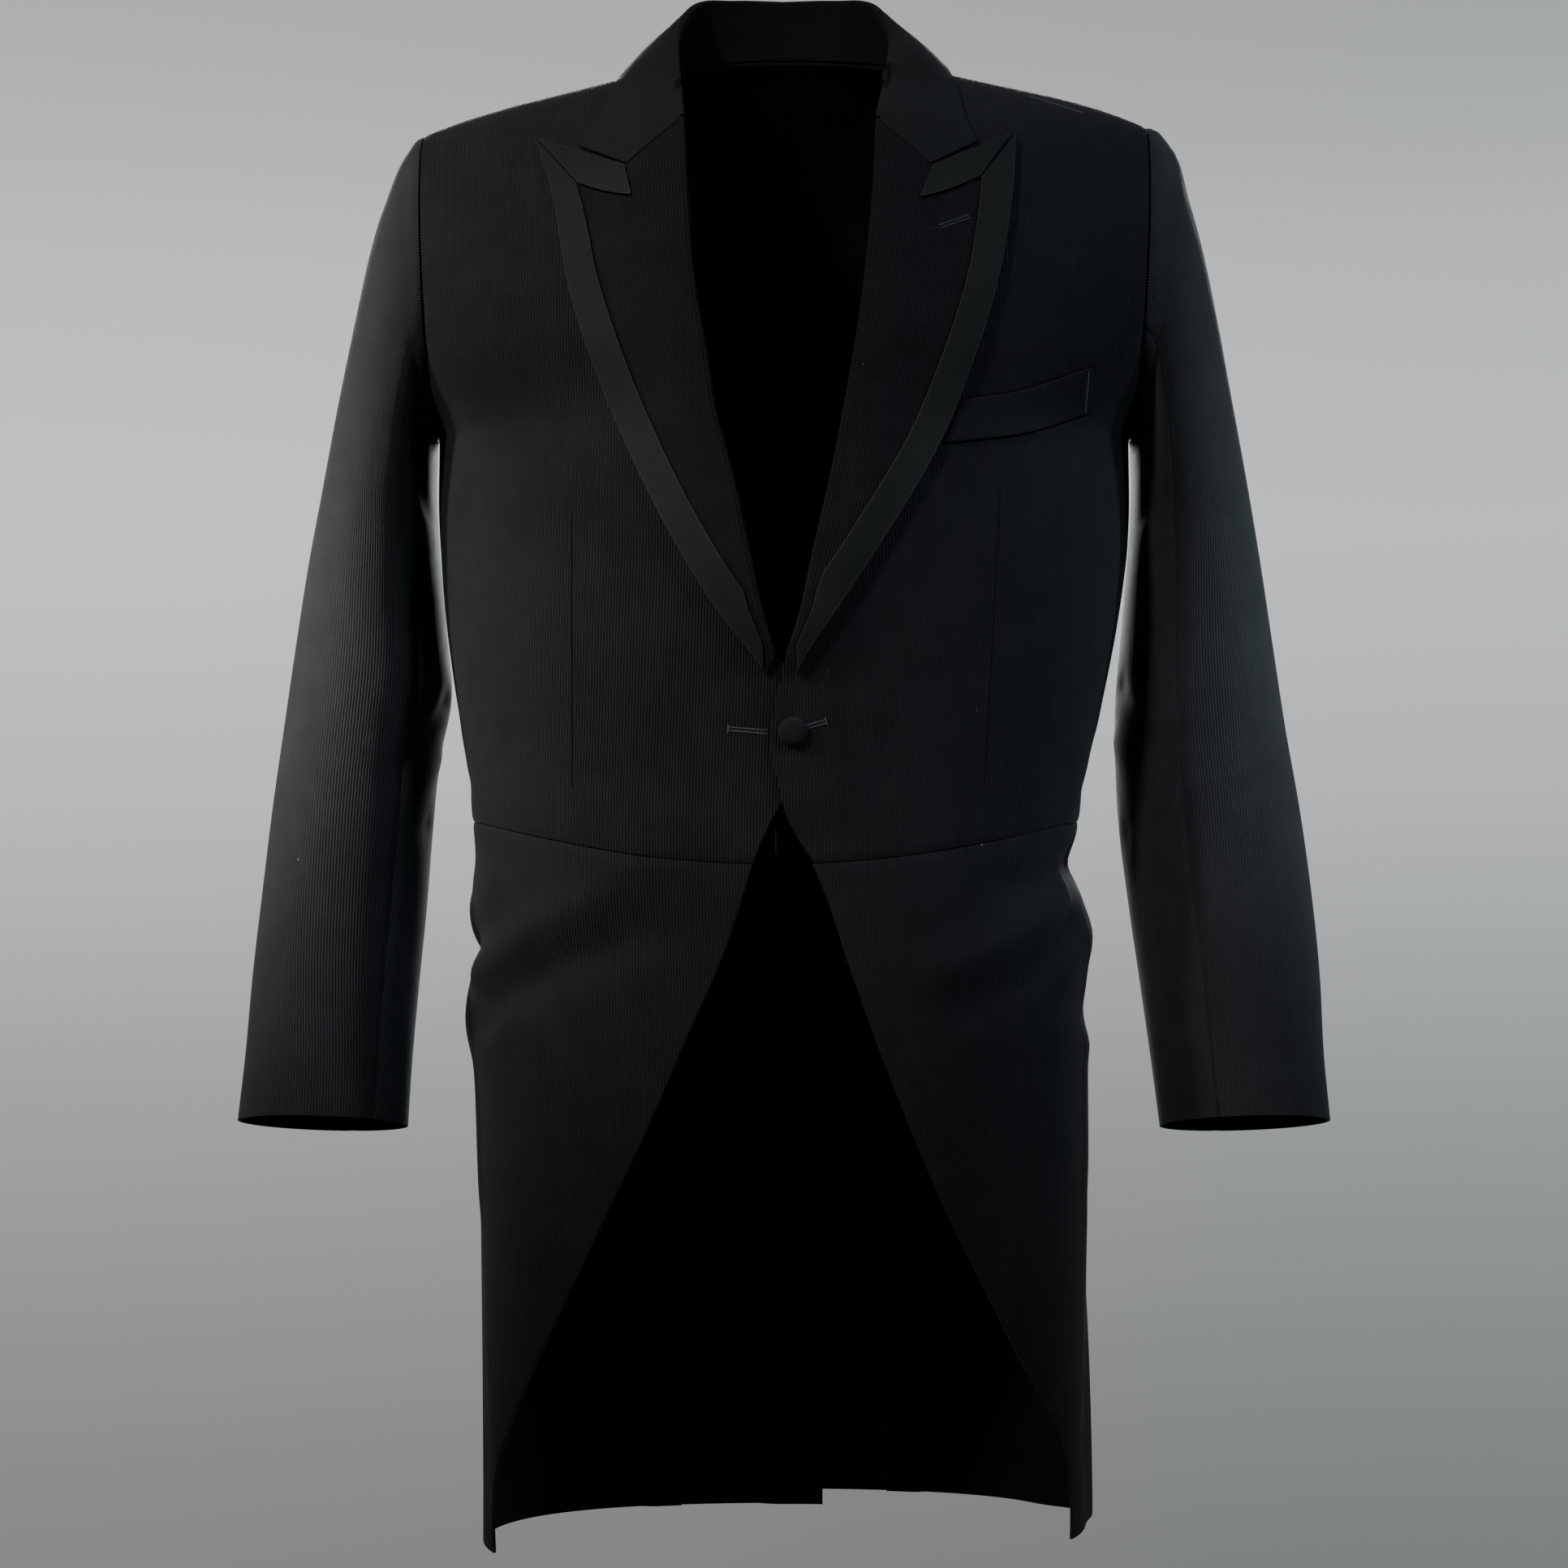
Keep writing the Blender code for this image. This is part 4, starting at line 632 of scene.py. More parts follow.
def ring(z, turn, side):
    """Body below the armpit: a squarish oval whose depth differs in front and behind, swayed and folded.

    x is the half width times (sin t + s sin 3t), y goes with (cos t - s cos 3t), both over (1 - s).
    """
    half, mid, front, back, square = (
        follow(RINGS, "z", name, z) for name in ("half_width", "mid_y", "front_y", "back_y", "square")
    )
    depth = np.where(turn < QUARTER, mid - front, back - mid)
    x = half * (np.sin(turn) + square * np.sin(3 * turn)) / (1 - square)
    y = mid - depth * (np.cos(turn) - square * np.cos(3 * turn)) / (1 - square)
    push = fold_push(turn, z, side)
    if side == "left":
        upright = smooth(z, *LAP_FADE["foot"]) * (1 - smooth(z, *LAP_FADE["head"]))
        push = push + LAP_LIFT * (1 - smooth(turn, *LAP_FADE["turn"])) * upright
    x = x + push * np.sin(turn)
    y = y - push * np.cos(turn)
    return np.stack((SIDES[side] * x + follow(SWAY, "z", "shift", z), y, z + 0 * x), axis=-1)


def armhole(oval, half, side):
    """Place on the armhole: the oval angle in degrees is 0 at the shoulder point and 180 under the arm."""
    angle = np.radians(oval)
    top_x, top_z = ARMHOLE_TOP[side]
    foot_x, foot_z = ARMHOLE_FOOT
    x = (top_x + foot_x) / 2 + (top_x - foot_x) / 2 * np.cos(angle)
    z = (top_z + foot_z) / 2 + (top_z - foot_z) / 2 * np.cos(angle)
    return x, ARMHOLE_REACH[half] * np.sin(angle), z


def yoke(level, across, half, side):
    """Body above the armpit: each row is an arc from the centre line to a place on the armhole.

    Just above the armpit the rows keep the oval of the chest, and over CHEST_BLEND degrees of the
    armhole they pass into the arcs, sooner at the armhole's edge.
    """
    oval = 180 * (2 - level)
    rows = YOKE_FRONT if half == "front" else YOKE_BACK
    mid_y, mid_z, turn, droop = (
        follow(rows, "oval", name, oval) for name in ("mid_y", "mid_z", "turn", "droop")
    )
    end_x, end_y, end_z = armhole(oval, half, side)
    turn = np.radians(turn)
    share = np.sin(across * turn) / np.sin(turn)
    x = end_x * share
    y = between(mid_y, end_y, (1 - np.cos(across * turn)) / (1 - np.cos(turn)))
    chest_y = mid_y * np.sqrt(np.clip(1 - (x / ARMHOLE_FOOT[0]) ** 2, 0, 1))
    leaves = smooth(180 - oval, 0, CHEST_BLEND)
    y = between(chest_y, y, between(np.abs(across) ** 8, 1, leaves))
    z = between(mid_z, end_z, np.abs(share) ** droop)
    pad = SHOULDER_PAD[side] * np.sin(math.pi * np.clip(share, 0, 1) ** 3)
    z = z + pad * np.clip(1 - oval / PAD_REACH, 0, 1) ** 2
    return np.stack((SIDES[side] * x, y, z), axis=-1)


def body(level, across, half, side):
    """Outer face of the body at a level and a share across."""
    level, across = np.broadcast_arrays(np.asarray(level, float), np.asarray(across, float))
    turn = QUARTER * across if half == "front" else math.pi - QUARTER * across
    waist = waist_height(turn)
    reach = np.where(level < 0, waist - HEM_Z[side], ARMPIT_Z - waist)
    low = ring(waist + np.minimum(level, 1) * reach, turn, side)
    high = yoke(np.maximum(level, 1), across, half, side)
    return np.where((level > 1)[..., None], high, low)


def outward(level, across, half, side):
    """Unit normal of the body's outer face, from two short steps on the chart."""
    up = body(level + STEP, across, half, side) - body(level - STEP, across, half, side)
    along = body(level, across + STEP, half, side) - body(level, across - STEP, half, side)
    return unit(np.cross(along, up) * SIDES[side] * (1 if half == "front" else -1))


def first_crossing(gap, trial):
    """For each row, the trial value where the gap turns positive, found between two samples."""
    past = np.maximum(np.argmax(gap > 0, axis=1), 1)
    rows = np.arange(len(gap))
    before = gap[rows, past - 1]
    after = gap[rows, past]
    share = np.clip(before / (before - after), 0, 1)
    return between(trial[past - 1], trial[past], share)


def front_edge(z, side):
    """Inner edge of the front: the closing edge, then outside the roll line, then the neck."""
    closing = follow(CLOSING_EDGE, "z", side, z)
    rolled = follow(ROLL_LINE, "z", side, z) + LEG
    neck = follow(FRONT_NECK, "z", side, z)
    return np.where(z < CLOSING_EDGE["z"][-1], closing, np.where(z < FRONT_NECK["z"][0], rolled, neck))


def front_edge_across(level, side):
    """Share across at which each level meets the front's inner edge."""
    trial = np.linspace(-0.15, 1.0, SAMPLES)
    points = body(level[:, None], trial[None, :], "front", side)
    gap = SIDES[side] * points[..., 0] - front_edge(points[..., 2], side)
    return first_crossing(gap, trial)


def back_neck_across(level, side):
    """Share across at which each level meets the neck opening of the back, or 0 below it."""
    trial = np.linspace(0.0, 1.0, SAMPLES)
    points = body(level[:, None], trial[None, :], "back", side)
    gap = SIDES[side] * points[..., 0] - follow(BACK_NECK, "y", "x", points[..., 1])
    edge = first_crossing(gap, trial)
    return np.where(points[:, 0, 1] > BACK_NECK["y"][-1], 0.0, edge)


def drop_on_front(x, z, side):
    """Chart place of the front whose view from the front is (x, z), x counted to its own side.

    Newton's method from a rough guess, on the whole array at once.
    """
    level = np.clip(1 + (z - ARMPIT_Z) / 0.26, 0.02, 1.9)
    across = np.clip(x / 0.23, 0.01, 0.97)
    for _ in range(ROUNDS):
        here = body(level, across, "front", side)
        by_level = (here - body(level - SHORT_STEP, across, "front", side)) / SHORT_STEP
        by_across = (here - body(level, across - SHORT_STEP, "front", side)) / SHORT_STEP
        miss_x = x - SIDES[side] * here[..., 0]
        miss_z = z - here[..., 2]
        a, b = SIDES[side] * by_level[..., 0], SIDES[side] * by_across[..., 0]
        c, d = by_level[..., 2], by_across[..., 2]
        area = a * d - b * c
        level_stride = np.clip((miss_x * d - b * miss_z) / area, -STRIDE, STRIDE)
        across_stride = np.clip((a * miss_z - c * miss_x) / area, -STRIDE, STRIDE)
        level = np.clip(level + level_stride, 0.01, 1.998)
        across = np.clip(across + across_stride, -0.1, 0.999)
    return level, across


def on_front(x, z, height, side):
    """Point at a height over the front's outer face, moved straight forwards so that (x, z) is kept."""
    level, across = drop_on_front(x, z, side)
    point = body(level, across, "front", side)
    facing = np.maximum(-outward(level, across, "front", side)[..., 1], 0.5)
    point[..., 1] -= height / facing
    return point


def lapel_height(x, z, side):
    """Height of the lapel's outer face over the chest: highest at the roll, with a soft belly beside it."""
    from_roll = np.maximum(x - follow(ROLL_LINE, "z", side, z), 0)
    rest = (LAPEL_ROLL_HEIGHT - LAPEL_EDGE_HEIGHT) * np.exp(-from_roll / ROLL_REACH)
    belly = LAPEL_BELLY * np.exp(-(((from_roll - BELLY_PLACE) / BELLY_WIDTH) ** 2))
    return LAPEL_EDGE_HEIGHT + rest + belly * smooth(z, *BELLY_FADE)


def tent(share, top):
    """Straight up from 0 to 1 at the top, and straight down again."""
    return np.where(share < top, share / top, (1 - share) / (1 - top))


def roll_turn(count):
    """Section of a roll: distance from the fold and height of the outer face, round half a circle."""
    angle = np.linspace(0, math.pi, count)
    return ROLL_RADIUS * (1 - np.sin(angle)), -CLOTH + ROLL_RADIUS * (1 - np.cos(angle))


def rims(steps, rim):
    """Shares from 0 to 1: three narrow steps inside each end and even steps between."""
    first = ((rim * 0.3, 1), (rim, 1), (rim * 2.2, 1))
    last = ((1 - rim * 2.2, steps), (1 - rim, 1), (1 - rim * 0.3, 1), (1, 1))
    return run(0, *first, *last)


def lengths(grid, axis, start):
    """Running length of the grid's lines along one axis, counted from the line numbered start."""
    total = running(grid, axis)
    return total - np.take(total, [start], axis=axis)


def lie_of_grid(grid, column):
    """Cloth coordinates in metres: the length across from one column, and the length along."""
    return np.stack((lengths(grid, 1, column), lengths(grid, 0, 0)), axis=-1)


def lie_on_body(level, across, half, side, grid):
    """Cloth coordinates of a body panel: the level length from the centre line, so ribs hang upright.

    Each level is walked in even steps from the centre line, its flat lengths are summed, and the sum is
    read at the panel's own places.
    """
    trial = np.linspace(WALK_START, 1.0, WALK_STEPS + 1)
    walk = body(level, trial[None, :], half, side)[..., :2]
    place = (across - WALK_START) * (WALK_STEPS / (1 - WALK_START))
    u = read_rows(lengths(walk, 1, WALK_CENTRE), place)
    return np.stack((u, lengths(grid, 0, 0)), axis=-1)


def lapel_grid(side, rows, turn_columns, inner_columns, outer_columns):
    """Lapel: a leg in line with the front, a roll, and a leaf lying over the chest out to its edge.

    Each row is a straight line from the roll line to the outer edge in the front view, and the upper
    rows bend down towards the notch.
    """
    along = rims(rows, 0.003)
    rows = len(along)
    gorge_x, gorge_z = GORGE[side]
    peak_x, peak_z = PEAK[side]
    notch_x, notch_z = NOTCH[side]
    roll_z = between(LAPEL_FOOT_Z, gorge_z, along)
    edge_z = between(LAPEL_FOOT_EDGE_Z, peak_z, along)
    roll_x = follow(ROLL_LINE, "z", side, roll_z)
    edge_x = follow(LAPEL_EDGE, "z", side, edge_z)
    width = np.hypot(edge_x - roll_x, edge_z - roll_z)
    turn_away, turn_height = roll_turn(turn_columns)
    leg_away = np.array((LEG - LEG_GAP, LEG - 2 * LEG_GAP))
    turn_end = turn_away[-1]
    notch_share = (notch_x - gorge_x) / (peak_x - gorge_x)
    knee = between(turn_end, width, notch_share)
    knee = between(knee, width * notch_share, smooth(along, *KNEE_FADE))[:, None]
    inner = run(0, (1, inner_columns))[1:]
    outer = run(0, (0.95, outer_columns), (0.98, 1), (0.993, 1), (1, 1))[1:]
    leaf = (between(turn_end, knee, inner), between(knee, width[:, None], outer))
    leaf_away = np.concatenate(leaf, axis=1)
    fixed = np.concatenate((leg_away, turn_away))
    away = np.concatenate((np.tile(fixed, (rows, 1)), leaf_away), axis=1)
    share = away / width[:, None]
    x = between(roll_x[:, None], edge_x[:, None], share)
    z = between(roll_z[:, None], edge_z[:, None], share)
    chord_z = between(gorge_z, peak_z, notch_share)
    bend = smooth(along, *NOTCH_FADE)[:, None] * tent(share, notch_share)
    bend[:, : len(fixed)] = 0
    z = z + (notch_z - chord_z) * bend - SEAM_GAP
    height = lapel_height(x, z, side)
    height[:, : len(leg_away)] = -CLOTH
    height[:, len(leg_away) : len(fixed)] = turn_height[None, :]
    points = on_front(x, z, height, side)
    folded = np.concatenate((-leg_away, math.pi * ROLL_RADIUS * np.linspace(0, 1, turn_columns) - turn_end))
    across = np.concatenate((np.tile(folded, (rows, 1)), leaf_away), axis=1)
    return points, np.stack((across, lengths(points, 0, 0)), axis=-1)


def edge_ribbon_grid(side, rows, columns):
    """Ribbon along the lapel's outer edge, mitred at the peak and as wide as the ribbon all the way."""
    along = np.linspace(0, 1, rows)[:, None]
    mitre_x, mitre_z = MITRE[side]
    outer_z = between(LAPEL_FOOT_EDGE_Z + RIBBON_END_IN, PEAK[side][1] - RIBBON_END_IN, along)
    outer_x = follow(LAPEL_EDGE, "z", side, outer_z) - RIBBON_INSET
    inner_edge_z = between(LAPEL_FOOT_EDGE_Z + RIBBON_FOOT_RISE, mitre_z + MITRE_RISE, along)
    edge_x = follow(LAPEL_EDGE, "z", side, inner_edge_z)
    slope = (follow(LAPEL_EDGE, "z", side, inner_edge_z + STEP) - edge_x) / STEP
    length = np.hypot(1, slope)
    room = edge_x - follow(ROLL_LINE, "z", side, inner_edge_z) - RIBBON_FROM_ROLL
    wide = np.minimum(RIBBON_WIDTH, np.maximum(room / length, RIBBON_NARROWEST))
    inner_x = edge_x - wide / length
    inner_z = inner_edge_z + wide * slope / length
    inner_x = inner_x + (mitre_x - inner_x[-1]) * smooth(along, *MITRE_FADE)
    inner_z = inner_z + (mitre_z - inner_z[-1]) * smooth(along, *MITRE_FADE)
    over = np.linspace(0, 1, columns)[None, :]
    x = between(inner_x, outer_x, over)
    z = between(inner_z, outer_z, over)
    return on_front(x, z, lapel_height(x, z, side) + RIBBON_GAP + RIBBON, side)


def top_ribbon_grid(side, rows, columns):
    """Ribbon along the lapel's top edge, from the mitre to its short upright end at the notch."""
    end = np.array(RIBBON_END[side])
    mitre = np.array(MITRE[side]) + MITRE_SHIFT
    notch = np.array(NOTCH[side]) + NOTCH_SHIFT
    peak = np.array(PEAK[side]) + PEAK_SHIFT
    over = np.linspace(0, 1, columns)[None, :, None]
    along = np.linspace(0, 1, rows)[:, None, None]
    foot = between(end, mitre, over) - np.array((0, RIBBON_SAG)) * np.sin(math.pi * over)
    flat = between(foot, between(notch, peak, over), along)
    x, z = flat[..., 0], flat[..., 1]
    return on_front(x, z, lapel_height(x, z, side) + RIBBON_GAP + RIBBON, side)


def welt_grid(rows, columns):
    """Breast welt: a curved band whose upper and lower lines are smooth curves in the front view."""
    along = np.linspace(0, 1, columns)
    knots = np.array((0.0, 0.4, 1.0))
    lines = []
    for line in (WELT_FOOT, WELT_TOP):
        points = np.array(line)
        rows_of_line = {"share": knots, "x": points[:, 0], "z": points[:, 1]}
        lines.append([follow(rows_of_line, "share", name, along) for name in ("x", "z")])
    up = np.linspace(0, 1, rows)[:, None]
    x, z = (between(low, high, up) for low, high in zip(*lines))
    return on_front(x, z, np.full(x.shape, WELT_GAP + WELT_CLOTH), "left")


def front_grid(side):
    """Front panel, from the waist seam to the shoulder seam and from its inner edge to side and armhole."""
    level = run(
        LEVEL_GAP, (0.004, 1), (0.012, 1), (0.024, 1), (0.38, 26), (0.43, 40), (0.53, 14),
        (1.966, 96), (1.984, 1), (1.994, 1), (2 - LEVEL_GAP, 1),
    )[:, None]
    inner = front_edge_across(level[:, 0], side)[:, None]
    across = between(inner, 1 - ACROSS_GAP, rims(54, 0.008))
    points = body(level, across, "front", side)
    return points, lie_on_body(level, across, "front", side, points)


def back_levels():
    """Rows of the back: close together at the vent's top and round the neck."""
    neck = between(BACK_NECK_LEVEL, 2 - LEVEL_GAP, run(0, (1, 24)) ** 2)
    lower = run(
        -1, (-0.998, 1), (-0.993, 1), (-0.985, 1), (-0.15, 70), (VENT_TOP - 0.03, 6), (VENT_TOP, 6),
        (-0.02, 6), (0.08, 8), (SIDE_BODY_TOP, 84), (SIDE_BODY_TOP + 0.006, 1), (BACK_NECK_LEVEL, 34),
    )
    return np.concatenate((lower, neck[1:]))


def back_grid(side):
    """Back panel with its tail, from hem to neck and shoulder, and from the centre to the side-back seam.

    Below the waist the right tail runs on under the left one and lies a step deeper there.
    """
    level = back_levels()
    on_seam = level < SIDE_BODY_TOP + 0.001
    seam = np.where(on_seam, follow(SIDE_BACK_SEAM, "level", "across", level), 1.0) - ACROSS_GAP
    inner = back_neck_across(level, side)
    shares = rims(34, 0.012)
    across = between(inner[:, None], seam[:, None], shares)
    if side == "left":
        points = body(level[:, None], across, "back", side)
        return points, lie_on_body(level[:, None], across, "back", side, points)
    tail = run(VENT_UNDERLAP, (VENT_UNDERLAP + 0.002, 1), (VENT_UNDERLAP + 0.006, 1), (-0.002, 5), (0.050, 8))
    to_seam = run(0, (0.96, len(shares) - len(tail) - 4), (0.98, 1), (0.994, 1), (1, 1))
    tail_across = np.concatenate(
        (np.tile(tail, (len(level), 1)), between(TAIL_STEP_END, seam[:, None], to_seam)), axis=1
    )
    lapped = (1 - smooth(level, VENT_TOP - 0.03, VENT_TOP))[:, None]
    across = between(across, tail_across, lapped)
    points = body(level[:, None], across, "back", side)
    sunk = (1 - smooth(level, VENT_TOP, -0.02))[:, None] * (1 - smooth(across, 0.012, TAIL_STEP_END))
    points = points - (PLEAT_STEP * sunk)[..., None] * outward(level[:, None], across, "back", side)
    return points, lie_on_body(level[:, None], across, "back", side, points)


def side_body_grid(side):
    """Side body, from the waist seam to its narrow top, and from the side-back seam to the side seam."""
    level = run(LEVEL_GAP, (0.004, 1), (0.012, 1), (0.024, 1), (SIDE_BODY_TOP, 84))[:, None]
    seam = follow(SIDE_BACK_SEAM, "level", "across", level) + ACROSS_GAP
    across = between(seam, 1 - ACROSS_GAP, rims(26, 0.014))
    points = body(level, across, "back", side)
    return points, lie_on_body(level, across, "back", side, points)


def skirt_ring(down, turn, side):
    """Outer face of the skirt: down is 0 at the waist seam and 1 at the hem."""
    return ring(between(waist_height(turn), HEM_Z[side], down), turn, side)


def skirt_grid(side):
    """Skirt, from its cutaway edge round the side to the pleat, where it steps in under the tail."""
    down = between(SKIRT_GAP, 1, rims(110, 0.003)[::-1])[:, None]
    trial = np.linspace(0.0, math.radians(86), 500)
    points = skirt_ring(down, trial[None, :], side)
    gap = SIDES[side] * points[..., 0] - follow(SKIRT_EDGE, "z", side, points[..., 2])
    edge = first_crossing(gap, trial)[:, None]
    pleat = math.pi - QUARTER * follow(SIDE_BACK_SEAM, "level", "across", -down)
    step_start = pleat - PLEAT_RUN
    shares = run(0, (0.003, 1), (0.010, 1), (0.022, 1), (1, 58))
    main = between(edge, step_start, shares)
    tuck = np.linspace(0, 1, 7)[None, 1:] * (PLEAT_RUN - PLEAT_EDGE)
    under = pleat + QUARTER * PLEAT_TUCK * np.array((0.0, 0.5, 0.9, 1.0))[None, :]
    turn = np.concatenate((main, step_start + tuck, under), axis=1)
    points = skirt_ring(down, turn, side)
    sunk = PLEAT_STEP * smooth(turn - pleat, -PLEAT_RUN, -PLEAT_EDGE)
    inward = np.stack((SIDES[side] * np.sin(turn), -np.cos(turn), 0 * turn), axis=-1)
    points = points - sunk[..., None] * inward
    walk = np.linspace(0.0, math.pi, WALK_STEPS + 1)
    total = running(skirt_ring(down, walk[None, :], side)[..., :2], 1)
    u = read_rows(total, turn / math.pi * WALK_STEPS)
    return points, np.stack((u, lengths(points, 0, 0)), axis=-1)


def neck_line(side, count):
    """The neck seam from the centre back over the side neck to the gorge, at even steps of its length."""
    back_level = between(BACK_NECK_LEVEL, 2 - LEVEL_GAP, np.linspace(0, 1, 120) ** 2)
    back = body(back_level, back_neck_across(back_level, side), "back", side)
    back = back[np.abs(back[:, 0]) > 1e-4]
    front_level = np.linspace(2 - LEVEL_GAP, 1.5, 160)
    front = body(front_level, front_edge_across(front_level, side), "front", side)
    front = front[front[:, 2] > GORGE[side][1]]
    centre = body(BACK_NECK_LEVEL, 0.0, "back", side)[None, :]
    line = np.concatenate((centre, back, front))
    length = running(line, 0)
    at = np.linspace(0, length[-1], count)
    return np.stack([np.interp(at, length, line[:, axis]) for axis in range(3)], axis=-1)


def collar_standing(side, seam, fold, edge, bulge, turn_columns, over):
    """Stations round the neck: a stand from the seam up to the fold, a roll, and a fall to the edge.

    In front of the shoulder the fall is held off the chest, more evenly the larger COLLAR_EASE is.
    """
    rise = fold - seam
    tall = np.linalg.norm(rise, axis=1, keepdims=True)
    up = rise / tall
    path = unit(np.gradient(fold, axis=0))
    away = np.cross(up, path)
    away = unit(away * np.sign(np.sum(away[:, :2] * (edge - fold)[:, :2], axis=1, keepdims=True)))
    top = tall - ROLL_RADIUS
    stand_up = between(STAND_LIFT, top, STAND_SHARES)
    angle = np.linspace(0, math.pi, turn_columns)
    round_away = ROLL_RADIUS * (1 - np.cos(angle))
    round_up = top + ROLL_RADIUS * np.sin(angle)[None, :]
    stand = seam[:, None, :] + up[:, None, :] * stand_up[..., None]
    turn = seam[:, None, :] + up[:, None, :] * round_up[..., None]
    turn = turn + away[:, None, :] * round_away[None, :, None]
    start = turn[:, -1:, :]
    fall = between(start, edge[:, None], over[:, None])
    out = np.cross(edge - start[:, 0], path)
    out = unit(out * np.sign(np.sum(out * away, axis=1, keepdims=True)))
    swell = bulge[:, None] * np.sin(math.pi * over[None, :] ** 0.8)
    fall = fall + out[:, None, :] * swell[..., None]
    x = np.abs(fall[..., 0])
    far_x, far_z = ARMHOLE_TOP[side]
    below = between(YOKE_FRONT["mid_z"][0], far_z, x / far_x) - fall[..., 2]
    chest_z = fall[..., 2] + np.minimum(below - SHOULDER_CLEAR, 0)
    chest = on_front(x, chest_z, LAPEL_EDGE_HEIGHT + 0 * x, side)[..., 1]
    clear = chest - fall[..., 1]
    held_off = (clear + np.hypot(clear, COLLAR_EASE)) / 2 - clear
    on_chest = smooth(below, *SHOULDER_FADE) * smooth(-edge[:, None, 1], *FRONT_FADE)
    fall[..., 1] -= held_off * on_chest
    return np.concatenate((stand, turn, fall), axis=1)


def collar_lying(side, share, seam, fold, edge, turn_columns, over):
    """Stations beside the lapel, with its section: a leg, a roll, and a leaf lying on the chest."""
    gorge = np.array(GORGE[side])
    notch = np.array(NOTCH[side])
    flat_fold, flat_seam, flat_edge = (
        np.stack((np.abs(place[:, 0]), place[:, 2]), axis=-1) for place in (fold, seam, edge)
    )
    corner = flat_edge[-1]
    notch_share = (notch[0] - gorge[0]) / (corner[0] - gorge[0])
    leg = flat_seam - flat_fold
    leg_length = np.linalg.norm(leg, axis=1)
    leg_share = (1 - LEG_GAP / leg_length)[:, None] * (1 - STAND_SHARES[None, :])
    turn_away, turn_height = roll_turn(turn_columns)
    leg_share = leg_share + (turn_away[0] / leg_length)[:, None] * STAND_SHARES[None, :]
    leaf = flat_edge - flat_fold
    width = np.linalg.norm(leaf, axis=1)
    turn_share = turn_away[None, :] / width[:, None]
    leaf_share = between(turn_share[:, -1:], 1, over)
    leaf_share[-1] = np.where(over <= notch_share, over, leaf_share[-1])
    leaf_share = np.maximum(leaf_share, turn_share[:, -1:] + 0.01)
    on_leaf = np.concatenate((turn_share, leaf_share), axis=1)
    flat = np.concatenate(
        (
            flat_fold[:, None] + leg[:, None] * leg_share[..., None],
            flat_fold[:, None] + leaf[:, None] * on_leaf[..., None],
        ),
        axis=1,
    )
    chord_z = between(gorge[1], corner[1], notch_share)
    bend = smooth(share, *COLLAR_BEND_FADE)[:, None] * tent(leaf_share, notch_share) * (notch[1] - chord_z)
    x, z = flat[..., 0], flat[..., 1] + 2 * SEAM_GAP
    z[:, -len(over) :] += bend
    z[:, : -len(over)] += 5 * SEAM_GAP
    height = lapel_height(x, np.minimum(z, gorge[1]), side)
    height[:, : len(STAND_SHARES)] = -CLOTH
    height[:, len(STAND_SHARES) : len(STAND_SHARES) + turn_columns] = turn_height[None, :]
    return on_front(x, z, height, side)


def collar_half(side, stations, turn_columns, columns):
    """Half of the collar: it stands round the neck, and towards the gorge it lies like the lapel."""
    share = np.linspace(0, 1, stations)
    seam = neck_line(side, stations)
    fold_x, fold_y, fold_z, edge_x, edge_y, edge_z, left_rise, bulge = (
        follow(COLLAR, "share", name, share) for name in list(COLLAR)[1:]
    )
    nearing = smooth(share, 0.6, 1.0)
    fold_x = fold_x + (GORGE[side][0] - fold_x[-1]) * nearing
    fold_z = fold_z + (GORGE[side][1] - fold_z[-1]) * nearing
    if side == "left":
        edge_x = edge_x - LEFT_CORNER_IN * nearing
        edge_z = edge_z + left_rise
    fold = np.stack((SIDES[side] * fold_x, fold_y, fold_z), axis=-1)
    edge = np.stack((SIDES[side] * edge_x, edge_y, edge_z), axis=-1)
    notch_share = (NOTCH[side][0] - GORGE[side][0]) / (np.abs(edge[-1, 0]) - GORGE[side][0])
    over = run(0, (notch_share, columns), (0.95, columns), (0.98, 1), (0.993, 1), (1, 1))[1:]
    standing = collar_standing(side, seam, fold, edge, bulge, turn_columns, over)
    lying = collar_lying(side, share, seam, fold, edge, turn_columns, over)
    lies = smooth(share, COLLAR_LIES[0], COLLAR_LIES[1])[:, None, None]
    return np.where(lies > 0, between(standing, lying, lies), standing)


def sleeve_point(share, angle, side):
    """Sleeve: leaning oval sections; the angle is 0 on the outer side, a right angle in front."""
    share, angle = np.broadcast_arrays(share, angle)
    outer_x, outer_z, inner_x, inner_z, slim, fuller, mid_y, depth, tilt = (
        follow(SLEEVE, "share", name, share) for name in list(SLEEVE)[1:]
    )
    top_x, top_z = ARMHOLE_TOP[side]
    fit = 1 - smooth(share, 0.0, 0.16)
    inner_x = inner_x + slim * SLIMMED[side]
    outer_x = outer_x + fuller * (1 - SLIMMED[side])
    outer_x = outer_x + (top_x - SLEEVE["outer_x"][0]) * fit
    outer_z = outer_z + (top_z - SLEEVE["outer_z"][0]) * fit
    half_x = (outer_x - inner_x) / 2 * np.cos(angle)
    half_z = (outer_z - inner_z) / 2 * np.cos(angle)
    reach = depth * np.sin(angle)
    tilt = np.radians(tilt)
    x = (outer_x + inner_x) / 2 + half_x
    y = mid_y - reach * np.cos(tilt)
    z = (outer_z + inner_z) / 2 + half_z + reach * np.sin(tilt)
    start_y = np.where(np.sin(angle) > 0, ARMHOLE_REACH["front"], -ARMHOLE_REACH["back"]) * np.sin(angle)
    y = between(start_y, y, smooth(share, 0.0, 0.03))
    return np.stack((SIDES[side] * (x + ARMHOLE_GAP), y, z), axis=-1)


